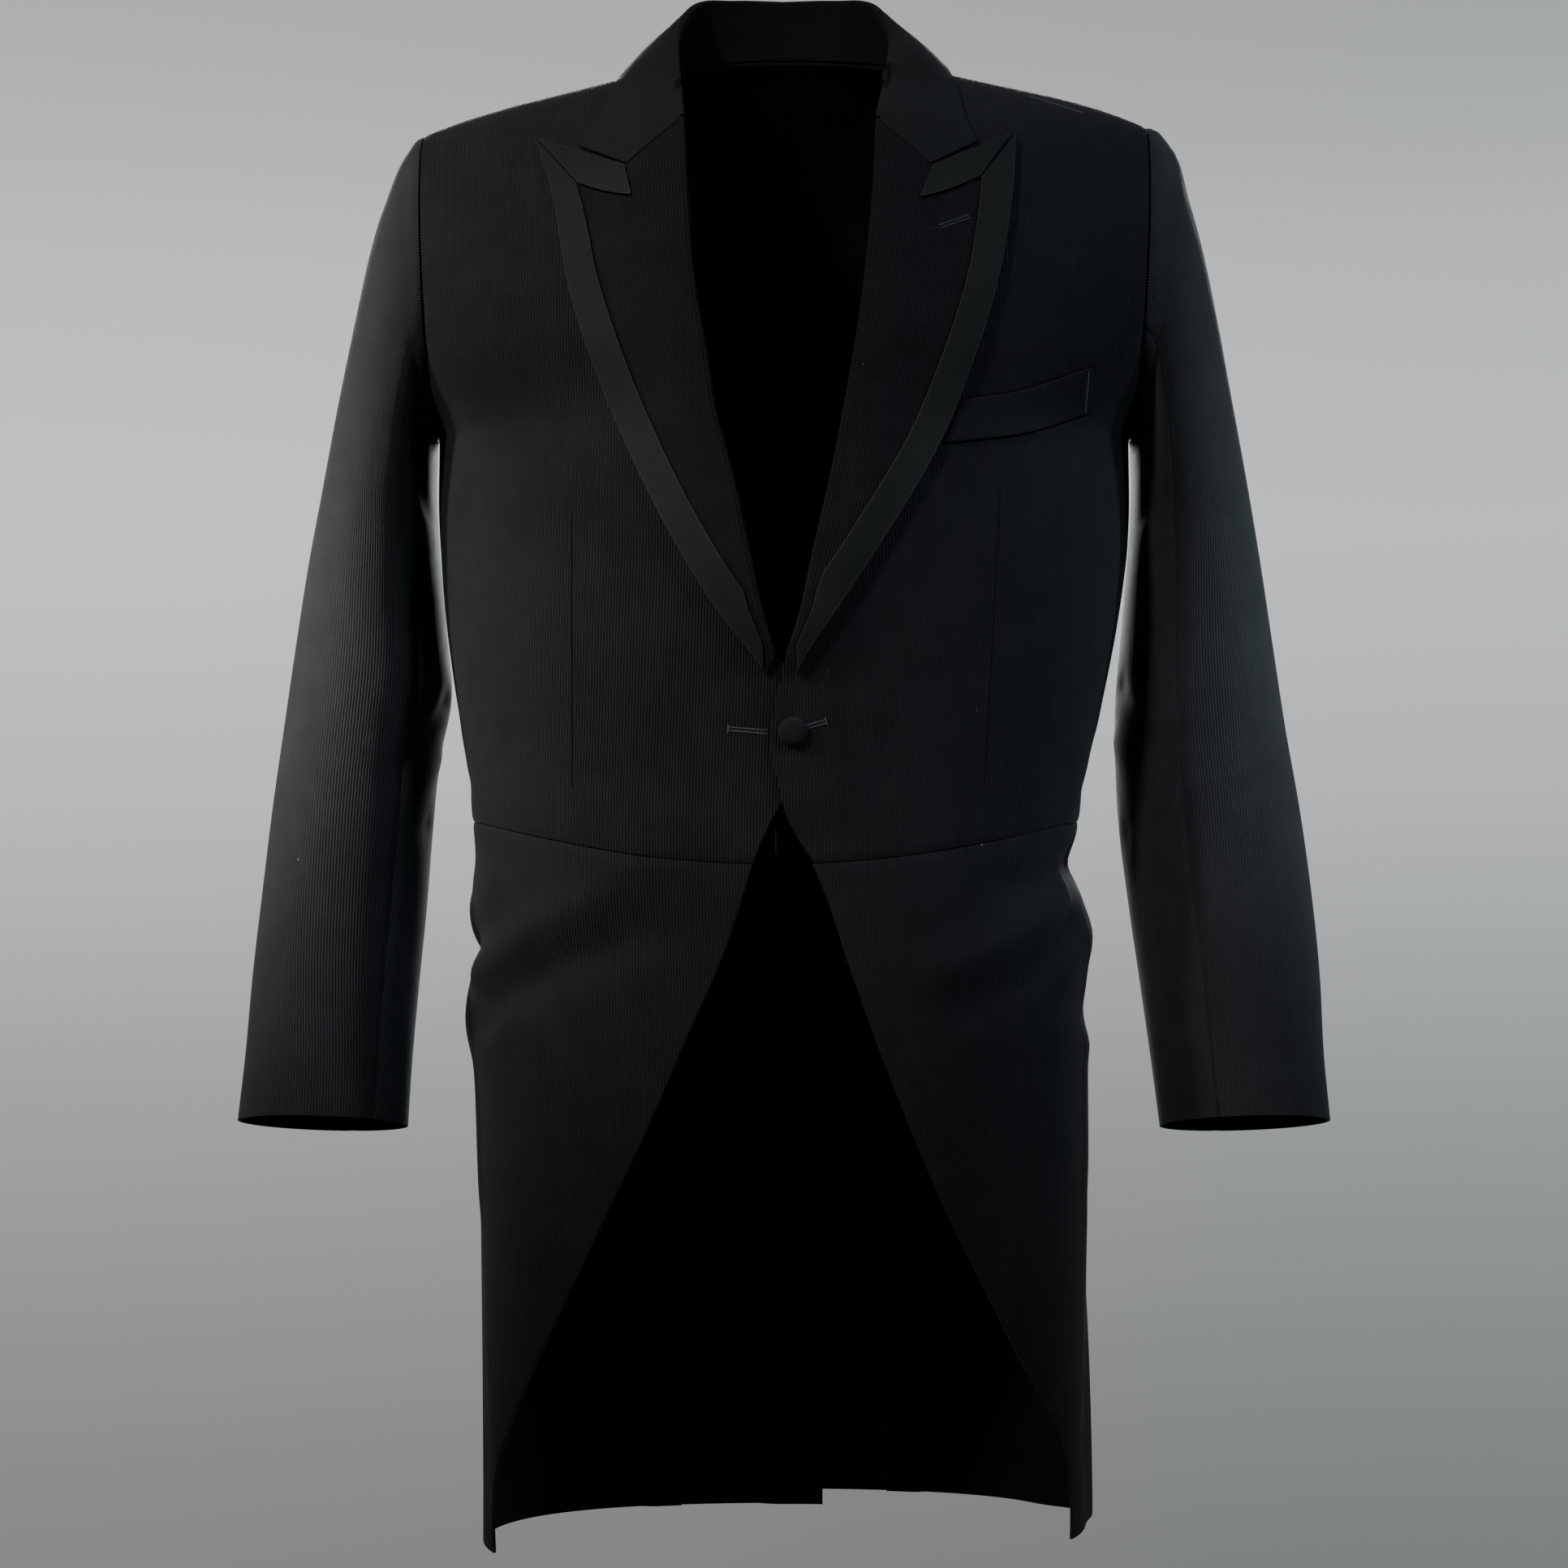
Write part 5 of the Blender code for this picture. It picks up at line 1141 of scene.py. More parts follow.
def collar_grid(stations, turn_columns, columns):
    """Both halves of the collar joined at the centre back."""
    right = collar_half("right", stations, turn_columns, columns)
    left = collar_half("left", stations, turn_columns, columns)
    middle = (right[:1] + left[:1]) / 2
    grid = np.concatenate((right[:0:-1], middle, left[1:]))
    return grid, lie_of_grid(grid, len(STAND_SHARES))


def sleeve_push(share, angle, side):
    """Sum of the sleeve's creases, none at the armhole and at the cuff."""
    push = np.zeros(np.broadcast(share, angle).shape)
    y = share * SLEEVE_LENGTH + 0 * angle
    for share_a, angle_a, push_a, share_b, angle_b, push_b, width in zip(*SLEEVE_CREASES[side].values()):
        middle = math.radians((angle_a + angle_b) / 2)
        x = ((angle - middle + math.pi) % (2 * math.pi) - math.pi + middle) * SLEEVE_GIRTH
        start = (math.radians(angle_a) * SLEEVE_GIRTH, share_a * SLEEVE_LENGTH)
        end = (math.radians(angle_b) * SLEEVE_GIRTH, share_b * SLEEVE_LENGTH)
        push = push + crease(x, y, start, end, push_a, push_b, width)
    return push * smooth(share, 0.0, 0.05) * (1 - smooth(share, 0.93, 1.0))


def sleeve_grid(side, first, last, steps, columns):
    """One piece of the sleeve, between two seams given as angles in degrees, with its creases."""
    share = rims(steps, 0.002)[:, None]
    angle = np.radians(between(first, last, rims(columns, 0.010)))[None, :]
    points = sleeve_point(share, angle, side)
    push = sleeve_push(share, angle, side)
    points[..., 0] += SIDES[side] * push * np.cos(angle)
    points[..., 1] -= push * np.sin(angle)
    return points, lie_of_grid(points, columns // 2 + 3)


def maths(tree, operation, *values):
    """One Math node; a value is a socket to link or a number to set."""
    made = tree.nodes.new("ShaderNodeMath")
    made.operation = operation
    feed(tree, made, *values)
    return made.outputs[0]


def link_or_set(tree, value, socket):
    """Links a socket to this one, or sets this one to a number, a vector or a colour."""
    if isinstance(value, bpy.types.NodeSocket):
        tree.links.new(value, socket)
    elif value is not None:
        socket.default_value = value


def feed(tree, made, *values):
    """Links or sets a node's inputs in order; None leaves one as it is."""
    for socket, value in zip(made.inputs, values):
        link_or_set(tree, value, socket)


def vectors(tree, operation, *values):
    """One Vector Math node, and its vector and value outputs."""
    made = tree.nodes.new("ShaderNodeVectorMath")
    made.operation = operation
    feed(tree, made, *values)
    return made.outputs[0], made.outputs[1]


def split(tree, value, kind="XYZ"):
    """The three numbers of a vector or a colour."""
    made = tree.nodes.new(f"ShaderNodeSeparate{kind}")
    tree.links.new(value, made.inputs[0])
    return made.outputs


def noise(tree, place, scale, detail, roughness=0.5):
    """Noise value at a place in metres, with scale in bumps to the metre."""
    made = tree.nodes.new("ShaderNodeTexNoise")
    tree.links.new(place, made.inputs["Vector"])
    made.inputs["Scale"].default_value = scale
    made.inputs["Detail"].default_value = detail
    made.inputs["Roughness"].default_value = roughness
    return made.outputs[0]


def ramp(tree, value, low, high, start=0.0, end=1.0):
    """A soft step from start to end as the value goes from low to high."""
    made = tree.nodes.new("ShaderNodeMapRange")
    made.interpolation_type = "SMOOTHSTEP"
    feed(tree, made, value, low, high, start, end)
    return made.outputs[0]


def waver(tree, place, scale, detail, reach):
    """A shift to either side by a noise, half of the reach at most."""
    return maths(tree, "MULTIPLY", maths(tree, "SUBTRACT", noise(tree, place, scale, detail), 0.5), reach)


def wave(tree, value, pitch):
    """A sine from 0 to 1, with one turn to each pitch."""
    turn = maths(tree, "MULTIPLY", maths(tree, "DIVIDE", value, pitch), 2 * math.pi)
    return maths(tree, "MULTIPLY_ADD", maths(tree, "SINE", turn), 0.5, 0.5)


def new_group(name, inputs, outputs):
    """A node group with named sockets: inputs are (name, kind, value), outputs are names of values."""
    tree = bpy.data.node_groups.new(name, "ShaderNodeTree")
    for label, kind, value in inputs:
        socket = tree.interface.new_socket(name=label, in_out="INPUT", socket_type=kind)
        if value is not None:
            socket.default_value = value
    for label in outputs:
        tree.interface.new_socket(name=label, in_out="OUTPUT", socket_type="NodeSocketFloat")
    return tree, tree.nodes.new("NodeGroupInput"), tree.nodes.new("NodeGroupOutput")


def corded_ribs():
    """Fine ribs of the cloth: a rounded sine ridge across, wandering a little, with slack yarns along it."""
    inputs = (
        ("Across", "NodeSocketFloat", 0.0),
        ("Along", "NodeSocketFloat", 0.0),
        ("Place", "NodeSocketVector", None),
        ("Pitch", "NodeSocketFloat", RIB_PITCH),
        ("Wander", "NodeSocketFloat", 0.0004),
    )
    tree, start, end = new_group("corded_ribs", inputs, ("Ridge", "Relief"))
    across, along, place, pitch, wander = start.outputs[:5]
    drift = waver(tree, place, *RIB_DRIFT, wander)
    slip = waver(tree, place, *RIB_SLIP, SLIP_REACH)
    shifted = maths(tree, "ADD", maths(tree, "ADD", across, drift), slip)
    ridge = maths(tree, "POWER", wave(tree, shifted, pitch), 0.65)
    yarn = wave(tree, along, YARN_PITCH)
    relief = maths(tree, "MULTIPLY_ADD", maths(tree, "MULTIPLY", yarn, ridge), 0.16, ridge)
    tree.links.new(ridge, end.inputs["Ridge"])
    tree.links.new(relief, end.inputs["Relief"])
    return tree


def wool_nap_and_mottled_shading():
    """Nap of wool: fine clumped fibres, and painted mottled shading: a broad slow change of tone in random
    patches, standing in for the uneven light and shade of creased cloth.
    """
    tree, start, end = new_group("wool_nap_and_mottled_shading", (("Place", "NodeSocketVector", None),), ("Fibres", "Mottled Shading"))
    place = start.outputs["Place"]
    fibres = ramp(tree, noise(tree, place, *NAP_FIBRES), 0.3, 0.7)
    # Painted mottled shading: broad slow patches from two noises
    broad = maths(tree, "MULTIPLY_ADD", noise(tree, place, *SHADING_MOTTLE_BROAD), 0.6, 0.0)
    patch = maths(tree, "MULTIPLY_ADD", noise(tree, place, *SHADING_MOTTLE_PATCHES), 0.4, broad)
    tree.links.new(fibres, end.inputs["Fibres"])
    tree.links.new(ramp(tree, patch, 0.32, 0.68), end.inputs["Mottled Shading"])
    return tree


def lint():
    """Lint: in a few cells of a scattered pattern, one tiny pale speck each."""
    inputs = (
        ("Place", "NodeSocketVector", None),
        ("Cells", "NodeSocketFloat", LINT_CELLS),
        ("Share", "NodeSocketFloat", LINT_SHARE),
    )
    tree, start, end = new_group("lint", inputs, ("Speck",))
    cells = tree.nodes.new("ShaderNodeTexVoronoi")
    tree.links.new(start.outputs["Place"], cells.inputs["Vector"])
    tree.links.new(start.outputs["Cells"], cells.inputs["Scale"])
    dot = ramp(tree, cells.outputs["Distance"], *SPECK, 1.0, 0.0)
    draws = split(tree, cells.outputs["Color"], "Color")
    kept = maths(tree, "LESS_THAN", draws[0], start.outputs["Share"])
    strength = maths(tree, "MULTIPLY_ADD", draws[1], 0.8, 0.2)
    speck = maths(tree, "MULTIPLY", maths(tree, "MULTIPLY", dot, kept), strength)
    tree.links.new(speck, end.inputs["Speck"])
    return tree


def sewn_and_shadow_line():
    """A line between two places in the view from the front: 1 on it, softly 0 past its half width."""
    inputs = (
        ("Place", "NodeSocketVector", None),
        ("Start", "NodeSocketVector", None),
        ("End", "NodeSocketVector", None),
        ("Half Width", "NodeSocketFloat", SEWN_HALF_WIDTH),
    )
    tree, start, end = new_group("sewn_and_shadow_line", inputs, ("Line",))
    place, first, last, half = start.outputs[:4]
    flat = vectors(tree, "MULTIPLY", place, (1.0, 0.0, 1.0))[0]
    away = vectors(tree, "SUBTRACT", flat, first)[0]
    line = vectors(tree, "SUBTRACT", last, first)[0]
    in_line = vectors(tree, "DOT_PRODUCT", away, line)[1]
    reach = maths(tree, "DIVIDE", in_line, vectors(tree, "DOT_PRODUCT", line, line)[1])
    reach.node.use_clamp = True
    foot = vectors(tree, "SCALE", line, None, None, reach)[0]
    gap = vectors(tree, "DISTANCE", away, foot)[1]
    near = ramp(tree, gap, half, maths(tree, "MULTIPLY", half, 2.2), 1.0, 0.0)
    in_front = maths(tree, "LESS_THAN", split(tree, place)[1], MARK_DEPTH)
    tree.links.new(maths(tree, "MULTIPLY", near, in_front), end.inputs["Line"])
    return tree


def placed(tree, name, *values):
    """The outputs of a group's node in a material, with its inputs fed in order."""
    made = tree.nodes.new("ShaderNodeGroup")
    made.node_tree = GROUPS[name]
    feed(tree, made, *values)
    return made.outputs


def mixed(tree, share, dark, light):
    """A colour between two, by a share."""
    made = tree.nodes.new("ShaderNodeMix")
    made.data_type = "RGBA"
    for number, value in ((0, share), (6, dark), (7, light)):
        link_or_set(tree, value, made.inputs[number])
    return made.outputs[2]


def bare_material(name, roughness, sheen, tint, specular):
    """A material with its constants on the shader's own sockets, and its Object coordinates and UV map."""
    made = bpy.data.materials.new(name)
    made.use_nodes = True
    tree = made.node_tree
    shader = tree.nodes["Principled BSDF"]
    shader.inputs["Roughness"].default_value = roughness
    shader.inputs["Sheen Weight"].default_value = sheen
    shader.inputs["Sheen Roughness"].default_value = 0.45
    shader.inputs["Sheen Tint"].default_value = tint
    shader.inputs["Specular IOR Level"].default_value = specular
    place = tree.nodes.new("ShaderNodeTexCoord").outputs["Object"]
    lie = tree.nodes.new("ShaderNodeUVMap")
    lie.uv_map = "lie"
    across, along = split(tree, lie.outputs[0])[:2]
    return made, tree, shader, place, across, along


def bumped(tree, shader, height, depth):
    """Feeds a height of 0 to 1, worth a depth in metres, to the shader's normal."""
    bump = tree.nodes.new("ShaderNodeBump")
    bump.inputs["Strength"].default_value = 1.0
    bump.inputs["Distance"].default_value = depth
    tree.links.new(height, bump.inputs["Height"])
    tree.links.new(bump.outputs[0], shader.inputs["Normal"])


def colour_share(tree, first, first_share, second):
    """Two masks in one: the first by its share, and the second by the rest."""
    rest = maths(tree, "MULTIPLY", second, 1 - first_share)
    return maths(tree, "MULTIPLY_ADD", first, first_share, rest)


def laid_over(tree, mask, strength, below, above):
    """A colour laid over another by a mask at a strength."""
    return mixed(tree, maths(tree, "MULTIPLY", mask, strength), below, above)


def nap_and_mottled_shading(tree, place):
    """The wool's nap at a place: its fibres, and its painted mottled shading."""
    return placed(tree, "nap", place)[:2]


def finished(tree, shader, colour, mask, swing, roughness):
    """Feeds the shader its colour, and its roughness: a base and a swing by a mask."""
    tree.links.new(colour, shader.inputs["Base Color"])
    tree.links.new(maths(tree, "MULTIPLY_ADD", mask, swing, roughness), shader.inputs["Roughness"])


def ribbed_wool(name, lines=(), light=1.0):
    """Black wool with fine ribs, its nap and painted mottled shading, lint, and sewn lines and painted shadow
    lines (start, end, half width, lift, paleness); a light above 1 paints light on the piece and below 1
    paints shade, scaling its colour, sheen and shine.
    """
    shades = (WOOL_GROOVE, WOOL_RIDGE, WOOL_SHADING_MOTTLE)
    # The colours are scaled by light: painted light for the sleeves, painted shade for the lapels
    groove, ridge, mottle_colour = ((*(part * light for part in shade[:3]), 1) for shade in shades)
    made, tree, shader, place, across, along = bare_material(
        name, roughness=0.78, sheen=WOOL_SHEEN * light, tint=WOOL_TINT, specular=WOOL_SHINE * light
    )
    ridges, relief = placed(tree, "ribs", across, along, place, RIB_PITCH)[:2]
    fibres, mottled_shading = nap_and_mottled_shading(tree, place)
    colour = mixed(tree, colour_share(tree, fibres, 0.40, ridges), groove, ridge)
    colour = laid_over(tree, mottled_shading, 0.35, colour, mottle_colour)
    height = maths(tree, "MULTIPLY_ADD", fibres, 0.18, relief)
    for start, end, half, lift, paleness in lines:
        line = placed(tree, "sewn", place, (start[0], 0.0, start[1]), (end[0], 0.0, end[1]), half)[0]
        height = maths(tree, "MULTIPLY_ADD", line, lift, height)
        # A dark line is a dark seam for the darts and painted shadow along the welt's edges
        thread = SEWN_PALE if paleness > 0 else SEWN_DARK_AND_SHADOW
        colour = laid_over(tree, line, abs(paleness), colour, thread)
    colour = laid_over(tree, placed(tree, "lint", place)[0], 0.85, colour, LINT_PALE)
    finished(tree, shader, colour, fibres, swing=0.14, roughness=0.70)
    bumped(tree, shader, height, RIB_RELIEF)
    return made


def plain_wool(name, colour_dark, colour_light, depth):
    """Smooth black wool: nap with its painted mottled shading, and a close even weave, no ribs."""
    made, tree, shader, place, across, along = bare_material(
        name, roughness=0.84, sheen=WOOL_SHEEN, tint=WOOL_TINT, specular=WOOL_SHINE
    )
    fibres, mottled_shading = nap_and_mottled_shading(tree, place)
    turns = (maths(tree, "MULTIPLY", way, 2 * math.pi / WEAVE_PITCH) for way in (across, along))
    warp, weft = (maths(tree, "SINE", turn) for turn in turns)
    weave = maths(tree, "MULTIPLY_ADD", maths(tree, "MULTIPLY", warp, weft), 0.5, 0.5)
    colour = mixed(tree, fibres, colour_dark, colour_light)
    colour = laid_over(tree, mottled_shading, 0.3, colour, WOOL_SHADING_MOTTLE)
    colour = laid_over(tree, placed(tree, "lint", place, 36.0, 0.10)[0], 0.4, colour, LINT_PALE)
    finished(tree, shader, colour, fibres, swing=0.12, roughness=0.78)
    bumped(tree, shader, colour_share(tree, fibres, 0.6, weave), depth)
    return made


def corded_ribbon(name):
    """Dull greyish ribbon: close cords across it, painted mottled shading, and a paler firm selvedge at both
    edges.
    """
    made, tree, shader, place, across, along = bare_material(
        name, roughness=0.66, sheen=0.022, tint=RIBBON_TINT, specular=0.12
    )
    cords, relief = placed(tree, "ribs", along, across, place, RIBBON_CORD_PITCH, 0.0002)[:2]
    fibres, mottled_shading = nap_and_mottled_shading(tree, place)
    edge = tree.nodes.new("ShaderNodeAttribute")
    edge.attribute_name = "from_edge"
    selvedge = ramp(tree, edge.outputs["Fac"], 0.0006, 0.0016, 1.0, 0.0)
    colour = mixed(tree, colour_share(tree, fibres, 0.3, cords), RIBBON_GROOVE, RIBBON_RIDGE)
    colour = laid_over(tree, mottled_shading, 0.4, colour, RIBBON_SHADING_MOTTLE)
    colour = laid_over(tree, selvedge, 0.55, colour, RIBBON_SELVEDGE)
    finished(tree, shader, colour, mottled_shading, swing=0.12, roughness=0.55)
    height = maths(tree, "MULTIPLY_ADD", selvedge, 0.5, maths(tree, "MULTIPLY", relief, 0.6))
    bumped(tree, shader, height, RIBBON_RELIEF)
    return made


def thread_material(name, dark, light, roughness):
    """Twisted thread: slanting strands seen in its colour and relief."""
    made, tree, shader, _, across, along = bare_material(
        name, roughness, sheen=0.2, tint=RIBBON_TINT, specular=0.4
    )
    share = wave(tree, maths(tree, "ADD", across, along), STRAND_PITCH)
    finished(tree, shader, mixed(tree, share, dark, light), share, swing=0.1, roughness=roughness)
    bumped(tree, shader, share, THREAD_RELIEF)
    return made


GROUPS = {"ribs": corded_ribs(), "nap": wool_nap_and_mottled_shading(), "lint": lint(), "sewn": sewn_and_shadow_line()}
FINISHES = {
    "wool": ribbed_wool("ribbed_wool"),
    "front_right": ribbed_wool("ribbed_wool_right_front", ((*DART_RIGHT, SEWN_HALF_WIDTH, -2.4, -0.8),)),
    "front_left": ribbed_wool(
        "ribbed_wool_left_front_with_welt_shadow",
        (
            (*DART_LEFT, SEWN_HALF_WIDTH, -2.4, -0.8),
            (*SHOULDER_SEWING, FINE_HALF_WIDTH, 0.5, 0.5),
            # Painted shadow: dark lines on the front cloth along the welt's top and foot edges
            *((*WELT_TOP[part : part + 2], WELT_TOP_SHADOW_HALF_WIDTH, -0.8, -0.85) for part in (0, 1)),
            *((*WELT_FOOT[part : part + 2], WELT_FOOT_SHADOW_HALF_WIDTH, -0.8, -0.85) for part in (0, 1)),
        ),
    ),
    # Painted light and shade: the sleeves' wool is made paler and the lapels' darker, in colour, sheen and
    # shine, for how light falls on them
    "sleeve": ribbed_wool("ribbed_wool_sleeve_painted_light", light=SLEEVE_PAINTED_LIGHT),
    "lapel": ribbed_wool("ribbed_wool_lapel_painted_shade", light=LAPEL_PAINTED_SHADE),
    "welt": ribbed_wool("ribbed_wool_welt", ((*WELT_SEWING, FINE_HALF_WIDTH, -0.8, 0.35),)),
    "collar": plain_wool("collar_wool", COLLAR_DARK, COLLAR_LIGHT, COLLAR_RELIEF),
    "button": plain_wool("button_cloth", COLLAR_DARK, COLLAR_LIGHT, BUTTON_RELIEF),
    "inside": plain_wool("inside_cloth", INSIDE_DARK, INSIDE_LIGHT, INSIDE_RELIEF),
    "ribbon": corded_ribbon("corded_ribbon"),
    "thread": thread_material("buttonhole_thread", THREAD_DARK, THREAD_LIGHT, 0.45),
    # Painted shadow in the buttonholes' slits: a near-black cord
    "slit": thread_material("slit_shadow", SLIT_SHADOW_DARK, SLIT_SHADOW_DARK, 0.8),
}


def put_in_scene(name, data):
    """An object of this data, in the scene."""
    made = bpy.data.objects.new(name, data)
    bpy.context.scene.collection.objects.link(made)
    return made


def grid_faces(rows, columns):
    """Quads of a grid of points, row by row."""
    index = np.arange(rows * columns).reshape(rows, columns)
    corners = (index[:-1, :-1], index[:-1, 1:], index[1:, 1:], index[1:, :-1])
    return np.stack([corner.ravel() for corner in corners], axis=1)


def surface(name, grid, lie, from_edge=None):
    """A mesh object of a grid of points, with its cloth coordinates as a UV map."""
    mesh = bpy.data.meshes.new(name)
    mesh.from_pydata(grid.reshape(-1, 3).tolist(), [], grid_faces(*grid.shape[:2]).tolist())
    corners = np.empty(len(mesh.loops), np.int32)
    mesh.loops.foreach_get("vertex_index", corners)
    uv = mesh.uv_layers.new(name="lie")
    uv.uv.foreach_set("vector", lie.reshape(-1, 2)[corners].astype(np.float32).ravel())
    if from_edge is not None:
        edge = mesh.attributes.new("from_edge", "FLOAT", "POINT")
        edge.data.foreach_set("value", from_edge.astype(np.float32).ravel())
    mesh.shade_smooth()
    return put_in_scene(name, mesh)


def cloth(node, made, turned, wall, finish, slot, seams, held="draped", rests_on=()):
    """A panel of cloth in place of its solid: a thin closed shell on the panel's outer face.

    The grid is the outer face. Along each sewn edge it sinks by a bell over the distance from the edge,
    so two panels meet in a shallow pressed seam, and Solidify grows the wall inwards.
    """
    grid, lie = made
    round_it = {
        "first": np.abs(lengths(grid, 1, 0)),
        "last": np.abs(lengths(grid, 1, -1)),
        "foot": np.abs(lengths(grid, 0, 0)),
        "head": np.abs(lengths(grid, 0, -1)),
    }
    normal = np.cross(np.gradient(grid, axis=1), np.gradient(grid, axis=0))
    size = np.maximum(np.linalg.norm(normal, axis=-1, keepdims=True), 1e-15)
    normal = normal / size * (-1 if turned else 1)
    sink = np.zeros(grid.shape[:2])
    for edge, weight in seams.items():
        sink = np.maximum(sink, weight * np.exp(-((round_it[edge] / SEAM_DIP_WIDTH) ** 2)))
    grid = grid - (SEAM_DIP * sink)[..., None] * normal
    nearest = np.minimum.reduce(list(round_it.values()))
    if turned:
        grid, lie, nearest = grid[:, ::-1], lie[:, ::-1], nearest[:, ::-1]
    piece = surface(f"{node}_cloth", grid, lie, nearest)
    piece.data.materials.append(FINISHES[finish])
    piece.data.materials.append(FINISHES["ribbon" if finish == "ribbon" else "inside"])
    solid = piece.modifiers.new("wall", "SOLIDIFY")
    solid.thickness = wall
    solid.offset = -1.0
    solid.material_offset = 1
    soft = piece.modifiers.new("soft_edge", "BEVEL")
    soft.width = wall * EDGE_ROUNDING
    soft.segments = 2
    soft.limit_method = "ANGLE"
    soft.angle_limit = EDGE_ANGLE
    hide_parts(node)
    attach(piece, "root")


def closed_surface(name, points, lie, finish):
    """A turned or swept surface, merged at its seam and poles and with its faces pointing outwards."""
    piece = surface(name, points, lie)
    work = bmesh.new()
    work.from_mesh(piece.data)
    bmesh.ops.remove_doubles(work, verts=work.verts, dist=1e-6)
    bmesh.ops.recalc_face_normals(work, faces=work.faces)
    work.to_mesh(piece.data)
    work.free()
    piece.data.shade_smooth()
    piece.data.materials.append(FINISHES[finish])
    return piece


def covered_button(node, centre, out, radius, height):
    """Button covered in cloth: a profile turned about its axis, flat beneath and domed on top.

    Over the rim the profile is a quarter of an oval whose power is a little over 2, which makes a full dome.
    """
    turn = np.linspace(0, math.pi / 2, 14)
    dome_up = BUTTON_RIM + (1 - BUTTON_RIM) * np.sin(turn) ** 0.92
    reach = radius * np.concatenate((BUTTON_FOOT[:, 0], np.cos(turn) ** 0.8))
    up = height * np.concatenate((BUTTON_FOOT[:, 1], dome_up))
    reach[-1] = 0
    angle = np.linspace(0, 2 * math.pi, BUTTON_TURN_STEPS + 1)
    out = unit(np.asarray(out, float))
    beside = unit(np.cross((0.0, 0.0, 1.0), out))
    above = np.cross(out, beside)
    gather = 1 + GATHER_DEPTH * np.sin(angle * GATHERS) * (1 - up / height)[:, None]
    flat_x = reach[:, None] * np.cos(angle) * gather
    flat_y = reach[:, None] * np.sin(angle) * gather
    points = centre + flat_x[..., None] * beside + flat_y[..., None] * above
    points = points + (up[:, None] + 0 * angle)[..., None] * out
    lie = np.stack((flat_x, flat_y), axis=-1)
    piece = closed_surface(f"{node}_covered", points, lie, "button")
    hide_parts(node)
    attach(piece, "root")


def cord_of_thread(name, path, radius, finish, purl):
    """Thread laid along a path: a circle carried along it, closed at both ends, swelling at each stitch."""
    path = np.asarray(path, float)
    along = unit(np.gradient(path, axis=0))
    sideways = unit(np.cross(along, (0.0, -1.0, 0.0)))
    up = np.cross(sideways, along)
    length = running(path, 0)
    thick = radius * (1 + purl * np.sin(length / STITCH_PITCH * 2 * math.pi))
    thick[0] = 0
    thick[-1] = 0
    angle = np.linspace(0, 2 * math.pi, 11)
    points = (
        path[:, None]
        + (thick[:, None] * np.cos(angle))[..., None] * sideways[:, None]
        + (thick[:, None] * np.sin(angle))[..., None] * up[:, None]
    )
    lie = np.stack(np.broadcast_arrays(radius * angle[None, :], length[:, None]), axis=-1)
    piece = closed_surface(name, points, lie, finish)
    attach(piece, "root")


def over_cloth(start, end, count, side, height, on_lapel):
    """Evenly spaced places from one front-view point to another, at a height over the front or the lapel."""
    share = np.linspace(0, 1, count)
    x, z = (between(start[axis], end[axis], share) for axis in (0, 1))
    lift = height + (lapel_height(x, z, side) if on_lapel else 0 * x)
    return on_front(x, z, lift, side)


def buttonhole(name, start, end, side, bar_at_end, on_lapel):
    """Worked buttonhole: two cords of thread beside a slit painted as a thin dark cord of shadow, and a bar
    across one end.
    """
    start, end = np.array(start), np.array(end)
    line = unit(end - start)
    beside = np.array((-line[1], line[0])) * BUTTONHOLE_SPREAD / 2
    for label, shift in (("upper", beside), ("lower", -beside)):
        path = over_cloth(start + shift, end + shift, 60, side, THREAD_RADIUS * 0.5, on_lapel)
        cord_of_thread(f"{name}_{label}_thread", path, THREAD_RADIUS, "thread", THREAD_SWELL)
    # Painted shadow of the slit between the two threads
    path = over_cloth(start, end, 12, side, 0.0, on_lapel)
    cord_of_thread(f"{name}_slit", path, THREAD_RADIUS * SLIT_THICKNESS, "slit", 0.0)
    if bar_at_end:
        reach = beside * BAR_REACH
        path = over_cloth(end - reach, end + reach, 16, side, THREAD_RADIUS * 0.9, on_lapel)
        cord_of_thread(f"{name}_bar", path, THREAD_RADIUS * BAR_THICKNESS, "thread", BAR_SWELL)


CENTRE_SEAM = smooth(back_levels(), VENT_TOP - 0.02, VENT_TOP + 0.02)[:, None]
SLEEVE_SEAMS = {"first": 1.7, "last": 1.7, "foot": 1.0}

